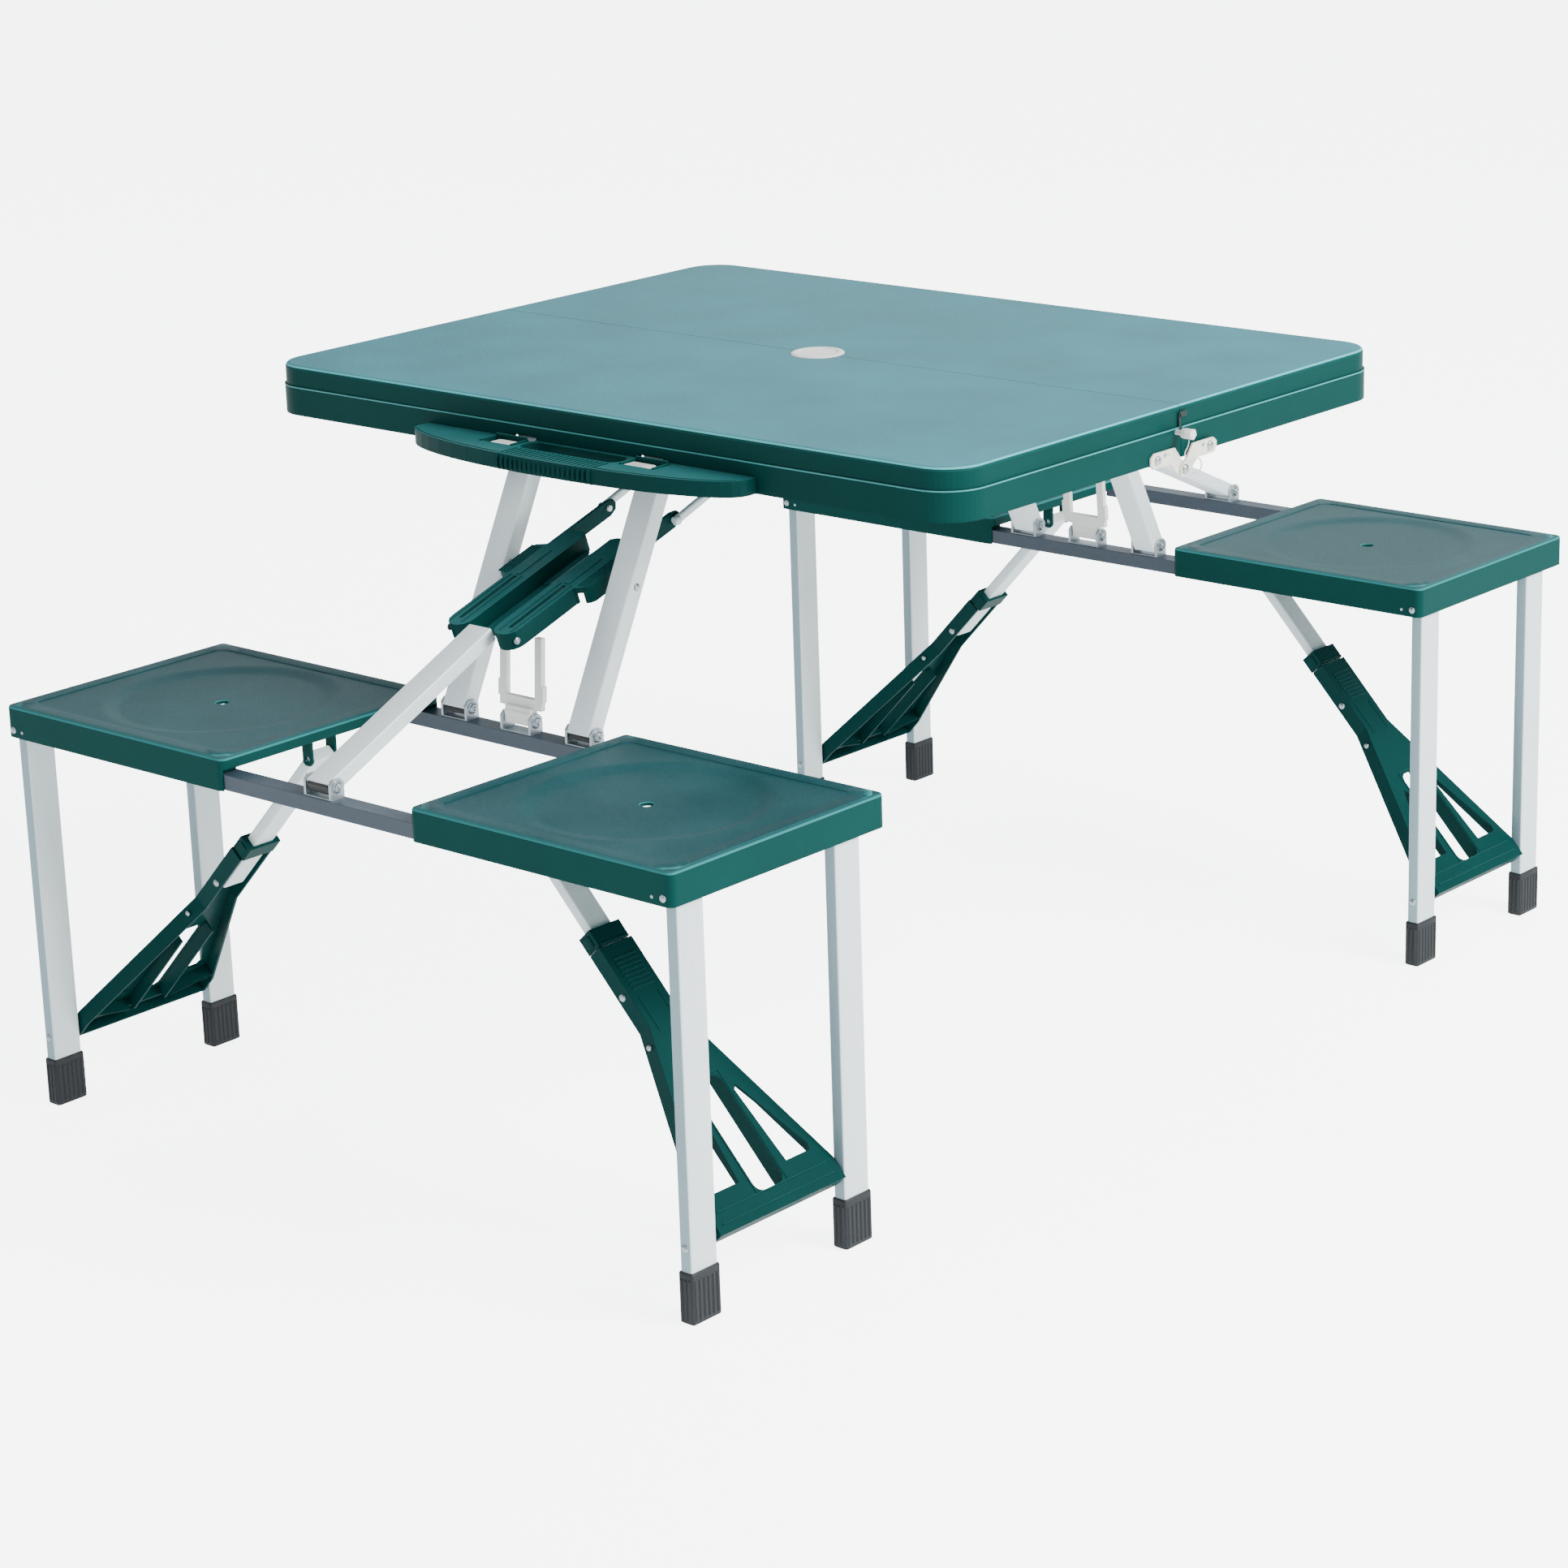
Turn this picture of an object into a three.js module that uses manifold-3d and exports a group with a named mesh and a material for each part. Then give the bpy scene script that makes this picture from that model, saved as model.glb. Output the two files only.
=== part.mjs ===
// Folding picnic table: a two-part top with four seats on hinged frames that stow inside it.
// Millimetres. +X runs along the seam of the top, +Y from the handle side to the far side, +Z up.
// The origin is on the floor below the middle of the top.

import * as THREE from 'three';
import { mergeVertices } from 'three/addons/utils/BufferGeometryUtils.js';
import Module from 'manifold-3d';

const wasm = await Module();
wasm.setup();

// ---------------------------------------------------------------- driving dimensions

const GAP = 0.4; // clearance between neighbouring pieces
const PIN_GAP = 0.12; // clearance of a pin in its hole

const TOP_LENGTH = 855;
const TOP_HALF_WIDTH = 320;
const TOP_HEIGHT = 655;
const RIM_DEPTH = 48;
const RIM_STEP = 21; // the ledge round the rim, below the top face
const RIM_STEP_OUT = 1.5;
const SKIN = 3;
const TOP_CORNER = 40;
const TOP_EDGE_ROUND = 4;
const CASE_EDGE = TOP_HEIGHT - RIM_DEPTH; // lower edge of the rim

const UMBRELLA_RADIUS = 20;
const CAP_FLANGE_RADIUS = 26;
const CAP_RECESS = 1.2;

const SEAT_INNER_X = 118;
const SEAT_OUTER_X = 418;
const SEAT_WIDTH = 266;
const SEAT_CENTRE_Y = 541;
const SEAT_HEIGHT = 396;
const SEAT_DEPTH = 30;
const SEAT_WALL = 2.5;
const SEAT_CORNER = 7;
const SEAT_BORDER = 18;
const DISH_RADIUS = 112;
const DISH_DEPTH = 4.5;
const SEAT_BASE = SEAT_HEIGHT - SEAT_DEPTH;

const RAIL_WIDTH = 19;
const RAIL_HEIGHT = 14;
const RAIL_BASE = SEAT_BASE + 1;
const RAIL_TOP = RAIL_BASE + RAIL_HEIGHT;
const RAIL_OFFSET = SEAT_WIDTH / 2 - SEAT_WALL - 0.5 - RAIL_WIDTH / 2;
const RAIL_HALF_LENGTH = 150;

const LEG_WIDTH = 32;
const LEG_THICK = 12.5;
const LEG_X = SEAT_OUTER_X - SEAT_WALL - 0.6 - LEG_THICK / 2;
const LEG_PIVOT_Z = SEAT_BASE + 7;
const LEG_OFFSETS = [-108, 86]; // the two legs of a pair, across the seat
const LEG_FOLDED = 87; // degrees: the legs come to rest under the rails
const FOOT_HEIGHT = 46;
const FOOT_WIDTH = 35;
const FOOT_THICK = 16;

const BRACE_Y = (LEG_OFFSETS[0] + LEG_OFFSETS[1]) / 2;
const BRACE_FOOT_Z = 67;
const BRACE_HALF_WIDTH = (LEG_OFFSETS[1] - LEG_OFFSETS[0] - LEG_WIDTH) / 2 - 2;
const NECK_HALF_WIDTH = 20;
const NECK_END = 46; // neck beyond the knee
const STAY_HALF_WIDTH = 12.5;
const STAY_HALF_THICK = 5.5;
const STAY_PIVOT = [126, SEAT_BASE + 2]; // x, z
const COLLAR_LENGTH = 17;
const COLLAR_TRAVEL = 18;

const PIVOT_HEIGHT = 11; // bracket pivots above the rail
const RAIL_PIVOT_Z = RAIL_TOP + PIVOT_HEIGHT;
const INNER_Y = -(SEAT_CENTRE_Y - RAIL_OFFSET);
const OUTER_Y = -(SEAT_CENTRE_Y + RAIL_OFFSET);
const PIN_RADIUS = 3;

const SUPPORT_X = 79;
const SUPPORT_HALF_WIDTH = 13.5;
const SUPPORT_HALF_THICK = 9;
const SUPPORT_HEAD = [-298, 638]; // y, z of the pivot under the top
const SUPPORT_FOOT = [INNER_Y, RAIL_PIVOT_Z];

const ARM_LENGTH = 216;
const ARM_HALF_WIDTH = 14;
const ARM_HALF_THICK = 7;
const ARM_FOOT = [OUTER_Y, RAIL_PIVOT_Z];
const CHANNEL_LENGTH = 220.5;
const CHANNEL_HEAD = [-255, 549]; // y, z of the ears' pivot
const ROD_HEAD = [-8, 638]; // y, z of the rods' pivot under the top
const ROD_X = 46.5;
const ROD_RADIUS = 3;

const FORK_LENGTH = 78;
const FORK_LEAN = 4; // degrees from upright, towards the middle of the table

const HINGE_AXIS_Z = CASE_EDGE - 10.5;
const HINGE_PLATE = 1.8;
const LOCK_PIN = [-7, 631]; // y, z

const HANDLE_HALF_LENGTH = 205;
const HANDLE_REACH = 58;
const HANDLE_BASE = CASE_EDGE + 0.5;
const HANDLE_TOP = CASE_EDGE + 15;
const LATCH_X = 88;
const LATCH_TRAVEL = 8;

const ROUND_SIDES = 12;

// ---------------------------------------------------------------- solids

const AXES = {
  x: [new THREE.Vector3(0, 1, 0), new THREE.Vector3(0, 0, 1), new THREE.Vector3(1, 0, 0)],
  y: [new THREE.Vector3(1, 0, 0), new THREE.Vector3(0, 0, 1), new THREE.Vector3(0, -1, 0)],
  z: [new THREE.Vector3(1, 0, 0), new THREE.Vector3(0, 1, 0), new THREE.Vector3(0, 0, 1)],
};

function toSolid(geometry) {
  const bare = geometry.index ? geometry.toNonIndexed() : geometry.clone();
  bare.deleteAttribute('normal');
  bare.deleteAttribute('uv');
  const merged = mergeVertices(bare, 1e-4);
  return new wasm.Manifold(new wasm.Mesh({
    numProp: 3,
    vertProperties: new Float32Array(merged.attributes.position.array),
    triVerts: new Uint32Array(merged.index.array),
  }));
}

function toGeometry(solid) {
  const mesh = solid.getMesh();
  const geometry = new THREE.BufferGeometry();
  geometry.setAttribute('position', new THREE.BufferAttribute(new Float32Array(mesh.vertProperties), 3));
  geometry.setIndex(new THREE.BufferAttribute(new Uint32Array(mesh.triVerts), 1));
  geometry.computeVertexNormals();
  return geometry;
}

const join = (...solids) => solids.flat().reduce((whole, piece) => whole.add(piece));
const cut = (solid, ...tools) => tools.flat().reduce((whole, tool) => whole.subtract(tool), solid);

// An outline drawn across an axis and drawn out along it, between two places on that axis.
// Across x the outline is (y, z), across y it is (x, z) and across z it is (x, y).
function prism(axis, outline, from, to, options = {}) {
  const shape = outline instanceof THREE.Shape
    ? outline
    : new THREE.Shape(outline.map(([u, v]) => new THREE.Vector2(u, v)));
  const [u, v, n] = AXES[axis];
  const geometry = new THREE.ExtrudeGeometry(shape, {
    depth: to - from, bevelEnabled: false, curveSegments: ROUND_SIDES / 2, ...options,
  });
  const place = new THREE.Matrix4().makeBasis(u, v, n);
  place.setPosition(n.clone().multiplyScalar(axis === 'y' ? -to : from));
  geometry.applyMatrix4(place);
  return toSolid(geometry);
}

function block(x0, x1, y0, y1, z0, z1) {
  return prism('z', [[x0, y0], [x1, y0], [x1, y1], [x0, y1]], z0, z1);
}

function circle(u, v, radius, sides = ROUND_SIDES) {
  return Array.from({ length: sides }, (_, i) => {
    const angle = (i + 0.5) / sides * 2 * Math.PI;
    return [u + radius * Math.cos(angle), v + radius * Math.sin(angle)];
  });
}

const rod = (axis, u, v, radius, from, to, sides) => prism(axis, circle(u, v, radius, sides), from, to);

// A rectangle with round corners, one radius for each corner from (u0, v0) anticlockwise.
function roundedRectangle(u0, u1, v0, v1, radii) {
  const [a, b, c, d] = Array.isArray(radii) ? radii : [radii, radii, radii, radii];
  const shape = new THREE.Shape();
  shape.moveTo(u0 + a, v0);
  shape.lineTo(u1 - b, v0);
  if (b) shape.absarc(u1 - b, v0 + b, b, -Math.PI / 2, 0, false);
  shape.lineTo(u1, v1 - c);
  if (c) shape.absarc(u1 - c, v1 - c, c, 0, Math.PI / 2, false);
  shape.lineTo(u0 + d, v1);
  if (d) shape.absarc(u0 + d, v1 - d, d, Math.PI / 2, Math.PI, false);
  shape.lineTo(u0, v0 + a);
  if (a) shape.absarc(u0 + a, v0 + a, a, Math.PI, 1.5 * Math.PI, false);
  return shape;
}

// The frame of a straight member that runs from a to b: s along it, n to its left.
function along(a, b) {
  const length = Math.hypot(b[0] - a[0], b[1] - a[1]);
  const s = [(b[0] - a[0]) / length, (b[1] - a[1]) / length];
  const n = [-s[1], s[0]];
  const at = (t, h) => [a[0] + t * s[0] + h * n[0], a[1] + t * s[1] + h * n[1]];
  return { length, at };
}

// A strip of a straight member: from s0 to s1 along it and from n0 to n1 across its thickness.
function strip(axis, member, s0, s1, n0, n1, from, to) {
  const corners = [member.at(s0, n0), member.at(s1, n0), member.at(s1, n1), member.at(s0, n1)];
  return prism(axis, corners, from, to);
}

const between = (a, b, t) => [a[0] + (b[0] - a[0]) * t, a[1] + (b[1] - a[1]) * t];

// Where two circles meet, on the left of the way from p to q.
function meet(p, radiusP, q, radiusQ) {
  const line = along(p, q);
  const t = (radiusP ** 2 - radiusQ ** 2 + line.length ** 2) / (2 * line.length);
  return line.at(t, Math.sqrt(radiusP ** 2 - t ** 2));
}

// ---------------------------------------------------------------- materials and nodes

const finish = (color, roughness, metalness = 0) => ({ color, roughness, metalness });
const GREEN = finish(0x0c4f49, 0.45);
const ALUMINIUM = finish(0xc9d3d6, 0.4, 0.9);
const RAIL_PAINT = finish(0x46545f, 0.45, 0.3);
const STEEL = finish(0xd9d3c4, 0.35, 0.8);
const WHITE = finish(0xe9ece6, 0.5);
const RUBBER = finish(0x15171b, 0.75);

function node(name, look, solid) {
  const mesh = new THREE.Mesh(toGeometry(solid), new THREE.MeshStandardMaterial(look));
  mesh.name = name;
  return mesh;
}

function groupOf(...children) {
  const group = new THREE.Group();
  group.add(...children.flat());
  return group;
}

// ---------------------------------------------------------------- the top

// One half of the top, on the -Y side of the seam: an open tray upside down.
function topHalf() {
  const halfLength = TOP_LENGTH / 2;
  const seam = -GAP / 2;
  const corners = (inset) => [TOP_CORNER - inset, TOP_CORNER - inset, 1, 1];
  const outline = (inset) => roundedRectangle(
    -halfLength + inset, halfLength - inset, -TOP_HALF_WIDTH + inset, seam - (inset > SKIN / 2 ? SKIN : 0), corners(inset),
  );
  const bevel = {
    bevelEnabled: true, bevelThickness: TOP_EDGE_ROUND, bevelSize: TOP_EDGE_ROUND,
    bevelOffset: -TOP_EDGE_ROUND, bevelSegments: 3, curveSegments: 6,
  };
  const upperOutline = roundedRectangle(
    -halfLength + RIM_STEP_OUT, halfLength - RIM_STEP_OUT,
    -TOP_HALF_WIDTH + RIM_STEP_OUT, TOP_CORNER, TOP_CORNER - RIM_STEP_OUT,
  );
  const upper = prism('z', upperOutline, CASE_EDGE + 10, TOP_HEIGHT - TOP_EDGE_ROUND, bevel)
    .intersect(block(-halfLength, halfLength, -TOP_HALF_WIDTH, seam, CASE_EDGE + 12, TOP_HEIGHT));
  const lower = prism('z', outline(0), CASE_EDGE, TOP_HEIGHT - RIM_STEP, { curveSegments: 6 });
  const cavity = prism('z', outline(SKIN + RIM_STEP_OUT), CASE_EDGE - 1, TOP_HEIGHT - SKIN, { curveSegments: 6 });
  const umbrellaTube = rod('z', 0, 0, UMBRELLA_RADIUS + 3.5, TOP_HEIGHT - 9, TOP_HEIGHT - SKIN + 0.1, 24)
    .intersect(block(-40, 40, -40, seam, CASE_EDGE, TOP_HEIGHT));
  const shell = join(cut(join(upper, lower), cavity), umbrellaTube, supportEars(), rodEars(), stiffeners());
  return cut(
    shell,
    rod('z', 0, 0, UMBRELLA_RADIUS + GAP, CASE_EDGE, TOP_HEIGHT + 1, 24),
    rod('z', 0, 0, CAP_FLANGE_RADIUS + GAP, TOP_HEIGHT - CAP_RECESS, TOP_HEIGHT + 1, 24),
    supportPinHoles(),
    rod('x', ...ROD_HEAD, ROD_RADIUS + PIN_GAP, -ROD_X, ROD_X),
    supportNotches(),
  );
}

function supportEars() {
  const [y, z] = SUPPORT_HEAD;
  const ear = [[y - 8, TOP_HEIGHT - SKIN + 0.1], [y - 8, z - 4], [y - 4, z - 8], [y + 4, z - 8], [y + 8, z - 4],
    [y + 8, TOP_HEIGHT - SKIN + 0.1]];
  return [-1, 1].flatMap((side) => [-1, 1].map((face) => {
    const inner = side * SUPPORT_X + face * (SUPPORT_HALF_WIDTH + 0.5);
    const outer = inner + face * 3;
    return prism('x', ear, Math.min(inner, outer), Math.max(inner, outer));
  }));
}

function supportPinHoles() {
  return [-1, 1].map((side) => rod(
    'x', ...SUPPORT_HEAD, PIN_RADIUS + PIN_GAP, side * SUPPORT_X - 20, side * SUPPORT_X + 20,
  ));
}

// The supports leave the top through these, behind the handle.
function supportNotches() {
  const half = SUPPORT_HALF_WIDTH + 1.5;
  return [-1, 1].map((side) => block(
    side * SUPPORT_X - half, side * SUPPORT_X + half, -TOP_HALF_WIDTH - 6, -TOP_HALF_WIDTH + 12, CASE_EDGE - 1, CASE_EDGE + 17.5,
  ));
}

function rodEars() {
  const [y, z] = ROD_HEAD;
  const ear = [[y - 7, TOP_HEIGHT - SKIN + 0.1], [y - 7, z - 4], [y - 4, z - 7], [y + 4, z - 7], [y + 7, z - 4],
    [y + 7, TOP_HEIGHT - SKIN + 0.1]];
  return [-1, 1].map((side) => prism('x', ear, side * 34 - 2, side * 34 + 2));
}

// Low ribs under the face, clear of everything that stows below them.
function stiffeners() {
  const depth = 2;
  return [-210, -320, 210, 320].map((x) => block(
    x - 1, x + 1, -TOP_HALF_WIDTH + 3, -3, TOP_HEIGHT - SKIN - depth, TOP_HEIGHT - SKIN + 0.1,
  ));
}

function umbrellaCap() {
  const flange = TOP_HEIGHT - CAP_RECESS + 0.3;
  const profile = [
    [0, flange - 6], [UMBRELLA_RADIUS - 1, flange - 6], [UMBRELLA_RADIUS, flange - 5], [UMBRELLA_RADIUS, flange],
    [CAP_FLANGE_RADIUS, flange], [CAP_FLANGE_RADIUS, flange + 1.2], [CAP_FLANGE_RADIUS - 3, flange + 2.6], [0, flange + 3],
  ].map(([r, z]) => new THREE.Vector2(r, z));
  const lathe = new THREE.LatheGeometry(profile, 24);
  lathe.rotateX(Math.PI / 2);
  return toSolid(lathe);
}

// ---------------------------------------------------------------- handle, latches, hinges, lock

// Half the depth of the crescent handle at a place along it.
function handleReach(x) {
  const t = Math.abs(x) / HANDLE_HALF_LENGTH;
  return 12 + (HANDLE_REACH - 12) * Math.sqrt(Math.max(0, 1 - t ** 2.2));
}

function carryHandle() {
  const rim = -TOP_HALF_WIDTH - GAP;
  const steps = 24;
  const outer = Array.from({ length: steps + 1 }, (_, i) => {
    const x = HANDLE_HALF_LENGTH * Math.cos(i / steps * Math.PI);
    return [x, rim - handleReach(x)];
  });
  const plate = prism('z', [...outer.reverse(), [HANDLE_HALF_LENGTH, rim], [-HANDLE_HALF_LENGTH, rim]], HANDLE_BASE, HANDLE_TOP);
  const grip = prism('z', roundedRectangle(-62, 62, rim - 29, rim - 5, 11), HANDLE_BASE - 1, HANDLE_TOP + 1);
  const windows = [-1, 1].map((side) => block(
    side * LATCH_X - 18, side * LATCH_X + 18, rim - 27, rim - 8, HANDLE_BASE - 1, HANDLE_TOP + 1,
  ));
  return cut(plate, grip, windows, supportNotches());
}

function handleLatch(side) {
  const rim = -TOP_HALF_WIDTH - GAP;
  const x = side * (LATCH_X - LATCH_TRAVEL / 2);
  const tab = block(x - 13.5, x + 13.5, rim - 26, rim - 12.5, HANDLE_BASE + 3, HANDLE_TOP - 4);
  const bump = block(x - 10, x + 10, rim - 23, rim - 17, HANDLE_TOP - 4.5, HANDLE_TOP - 1);
  return join(tab, bump);
}

// The plates at one end of the seam. They cross over at the common pivot below the rim.
function hingePlate(front) {
  const side = front ? -1 : 1;
  const near = TOP_LENGTH / 2 + GAP + (front ? 0 : HINGE_PLATE + GAP);
  const z = CASE_EDGE;
  const outline = [
    [side * 44, z - 3], [side * 48, z + 2], [side * 48, z + 7], [side * 43, z + 11], [side * 12, z + 11],
    [side * 4, z + 1], [-side * 6, HINGE_AXIS_Z + 2], [-side * 6, HINGE_AXIS_Z - 4], [-side * 2, HINGE_AXIS_Z - 7],
    [side * 5, HINGE_AXIS_Z - 6], [side * 19, z - 3],
  ];
  const plate = prism('x', outline, near, near + HINGE_PLATE);
  const rivet = rod('x', side * 38, z + 4, 4, near + HINGE_PLATE - 0.1, near + HINGE_PLATE + 1.5, 12);
  if (!front) {
    return cut(join(plate, rivet), rod('x', 0, HINGE_AXIS_Z, PIN_RADIUS + PIN_GAP, near - 1, near + 4));
  }
  const pivot = rod('x', 0, HINGE_AXIS_Z, PIN_RADIUS, near, near + 2 * HINGE_PLATE + GAP + 1);
  return join(plate, rivet, pivot);
}

function lockPin() {
  const [y, z] = LOCK_PIN;
  const face = TOP_LENGTH / 2;
  return join(
    rod('x', y, z, 2.4, face - 6, face + 10, 12),
    rod('x', y, z, 5.5, face + 9.9, face + 19, 6),
  );
}

// A thin cord that ties the lock pin to the hinge.
function lockPinTether() {
  const face = TOP_LENGTH / 2;
  const curve = new THREE.CatmullRomCurve3([
    [face + 14, -7, 625.2], [face + 13, -7.5, 620], [face + 10, -8, 613], [face + 9, -5, 607], [face + 9.5, 2, 604],
    [face + 10, 9, 606], [face + 10.5, 14, 603.5], [face + 10, 17, 598], [face + 9, 16, 593], [face + 8.5, 11, 591],
    [face + 8.4, 7.4, 592.2],
  ].map((p) => new THREE.Vector3(...p)));
  const section = new THREE.Shape(circle(0, 0, 0.6, 8).map((p) => new THREE.Vector2(...p)));
  return toSolid(new THREE.ExtrudeGeometry(section, { steps: 34, extrudePath: curve, bevelEnabled: false }));
}

// ---------------------------------------------------------------- rails and seats

// A U-shaped bracket on a rail, with a hole through both ears along X.
function bracket(x, halfWidth, y) {
  const z = RAIL_PIVOT_Z;
  const ear = [[y - 8, RAIL_TOP - 0.1], [y + 8, RAIL_TOP - 0.1], [y + 8, z + 3], [y + 4, z + 7], [y - 4, z + 7], [y - 8, z + 3]];
  const inner = halfWidth + 0.5;
  const outer = inner + 2.5;
  const whole = join(
    prism('x', ear, x - outer, x - inner),
    prism('x', ear, x + inner, x + outer),
    block(x - outer, x + outer, y - 8, y + 8, RAIL_TOP - 0.1, RAIL_TOP + 1.2),
  );
  return cut(whole, rod('x', y, z, PIN_RADIUS + PIN_GAP, x - outer - 1, x + outer + 1));
}

function rail(y, brackets) {
  const bar = block(-RAIL_HALF_LENGTH, RAIL_HALF_LENGTH, y - RAIL_WIDTH / 2, y + RAIL_WIDTH / 2, RAIL_BASE, RAIL_TOP);
  return join(bar, brackets.map(([x, halfWidth]) => bracket(x, halfWidth, y)));
}

// A seat on the +X side, centred on y = 0: a thin shell with a dished panel.
function seatShell() {
  const half = SEAT_WIDTH / 2;
  const round = 2.5;
  const outer = prism('z', roundedRectangle(SEAT_INNER_X, SEAT_OUTER_X, -half, half, SEAT_CORNER), SEAT_BASE, SEAT_HEIGHT - round, {
    bevelEnabled: true, bevelThickness: round, bevelSize: round, bevelOffset: -round, bevelSegments: 2, curveSegments: 4,
  }).intersect(block(0, 500, -half, half, SEAT_BASE, SEAT_HEIGHT));
  const inside = (inset) => [SEAT_INNER_X + inset, SEAT_OUTER_X - inset, -half + inset, half - inset];
  const skin = 3;
  const cavity = block(...inside(SEAT_WALL), SEAT_BASE - 1, SEAT_HEIGHT - skin);
  const endNotch = block(SEAT_INNER_X - 1, SEAT_INNER_X + SEAT_WALL + 1, -half + SEAT_WALL, half - SEAT_WALL, SEAT_BASE - 1, SEAT_HEIGHT - 11);
  const panel = block(...inside(SEAT_BORDER), SEAT_HEIGHT - 1, SEAT_HEIGHT + 1);
  const centre = (SEAT_INNER_X + SEAT_OUTER_X) / 2;
  const bowl = rod('z', centre, 0, DISH_RADIUS + 3, SEAT_HEIGHT - DISH_DEPTH - 3, SEAT_HEIGHT - 1.5, 32);
  const rim = SEAT_HEIGHT - 1;
  const dishProfile = [[0, rim - DISH_DEPTH], [DISH_RADIUS - 16, rim - DISH_DEPTH + 0.6], [DISH_RADIUS - 6, rim - 2],
    [DISH_RADIUS, rim], [DISH_RADIUS, rim + 2], [0, rim + 2]];
  const dish = new THREE.LatheGeometry(dishProfile.map(([r, z]) => new THREE.Vector2(r, z)), 32);
  dish.rotateX(Math.PI / 2);
  dish.translate(centre, 0, 0);
  const shell = join(cut(outer, cavity, endNotch), bowl, legRibs(), stayEars(), railSeats());
  return cut(shell, panel, toSolid(dish), rod('z', centre, 0, 6, SEAT_BASE, SEAT_HEIGHT, 12), seatHoles());
}

// Ribs on both sides of each leg's top end.
function legRibs() {
  return LEG_OFFSETS.flatMap((y) => [-1, 1].map((side) => {
    const near = y + side * (LEG_WIDTH / 2 + 0.5);
    const far = near + side * 3;
    return block(LEG_X - 9, SEAT_OUTER_X - 1, Math.min(near, far), Math.max(near, far), SEAT_BASE, SEAT_HEIGHT - 2);
  }));
}

function stayEars() {
  const [x, z] = STAY_PIVOT;
  const ear = [[x - 6, z - 3], [x - 3, z - 6], [x + 3, z - 6], [x + 6, z - 3], [x + 6, SEAT_HEIGHT - 2], [x - 6, SEAT_HEIGHT - 2]];
  return [-1, 1].map((side) => {
    const near = BRACE_Y + side * (STAY_HALF_WIDTH + 0.5);
    const far = near + side * 2.5;
    return prism('y', ear, Math.min(near, far), Math.max(near, far));
  });
}

// Short ribs that carry the shell on the rails.
function railSeats() {
  return [-1, 1].flatMap((side) => [124, 144].map((x) => block(
    x - 1, x + 1, side * RAIL_OFFSET - 8, side * RAIL_OFFSET + 8, RAIL_TOP + GAP, SEAT_HEIGHT - 2,
  )));
}

function seatHoles() {
  return [
    ...LEG_OFFSETS.map((y) => rod('y', LEG_X, LEG_PIVOT_Z, PIN_RADIUS + PIN_GAP, y - 21, y + 21)),
    rod('y', ...STAY_PIVOT, PIN_RADIUS + PIN_GAP, BRACE_Y - 17, BRACE_Y + 17),
  ];
}

// ---------------------------------------------------------------- legs, braces, stays

// The knee between brace and stay: straight when open, and the stay lies level when the legs are folded.
function kneePoint() {
  const foot = [LEG_X, BRACE_FOOT_Z];
  const reach = along(foot, STAY_PIVOT).length;
  const legReach = LEG_PIVOT_Z - BRACE_FOOT_Z;
  const angle = THREE.MathUtils.degToRad(LEG_FOLDED);
  const foldedFoot = [LEG_X - legReach * Math.sin(angle), LEG_PIVOT_Z - legReach * Math.cos(angle)];
  const w = STAY_PIVOT[0] - foldedFoot[0];
  const h = STAY_PIVOT[1] - foldedFoot[1];
  const stay = (reach ** 2 - w ** 2 - h ** 2) / (2 * (reach + w));
  return between(foot, STAY_PIVOT, (reach - stay) / reach);
}

const KNEE = kneePoint();
const BRACE = along([LEG_X, BRACE_FOOT_Z], KNEE); // its left side, n > 0, faces down and inwards
const STAY = along(KNEE, STAY_PIVOT);

function leg(y) {
  const bar = block(LEG_X - LEG_THICK / 2, LEG_X + LEG_THICK / 2, y - LEG_WIDTH / 2, y + LEG_WIDTH / 2, FOOT_HEIGHT - 8, LEG_PIVOT_Z);
  const head = rod('y', LEG_X, LEG_PIVOT_Z, LEG_THICK / 2, y - LEG_WIDTH / 2, y + LEG_WIDTH / 2);
  const pin = rod('y', LEG_X, LEG_PIVOT_Z, PIN_RADIUS, y - LEG_WIDTH / 2 - 3, y + LEG_WIDTH / 2 + 3);
  return join(bar, head, pin);
}

function foot(y) {
  const outline = (grow) => [LEG_X - FOOT_THICK / 2 + grow, LEG_X + FOOT_THICK / 2 - grow, y - FOOT_WIDTH / 2 + grow, y + FOOT_WIDTH / 2 - grow];
  const body = prism('z', roundedRectangle(...outline(0), 2.5), 0, FOOT_HEIGHT, { curveSegments: 3 });
  const socket = block(
    LEG_X - LEG_THICK / 2 - GAP, LEG_X + LEG_THICK / 2 + GAP, y - LEG_WIDTH / 2 - GAP, y + LEG_WIDTH / 2 + GAP,
    FOOT_HEIGHT - 8 - GAP, FOOT_HEIGHT + 1,
  );
  return cut(body, socket);
}

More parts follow.
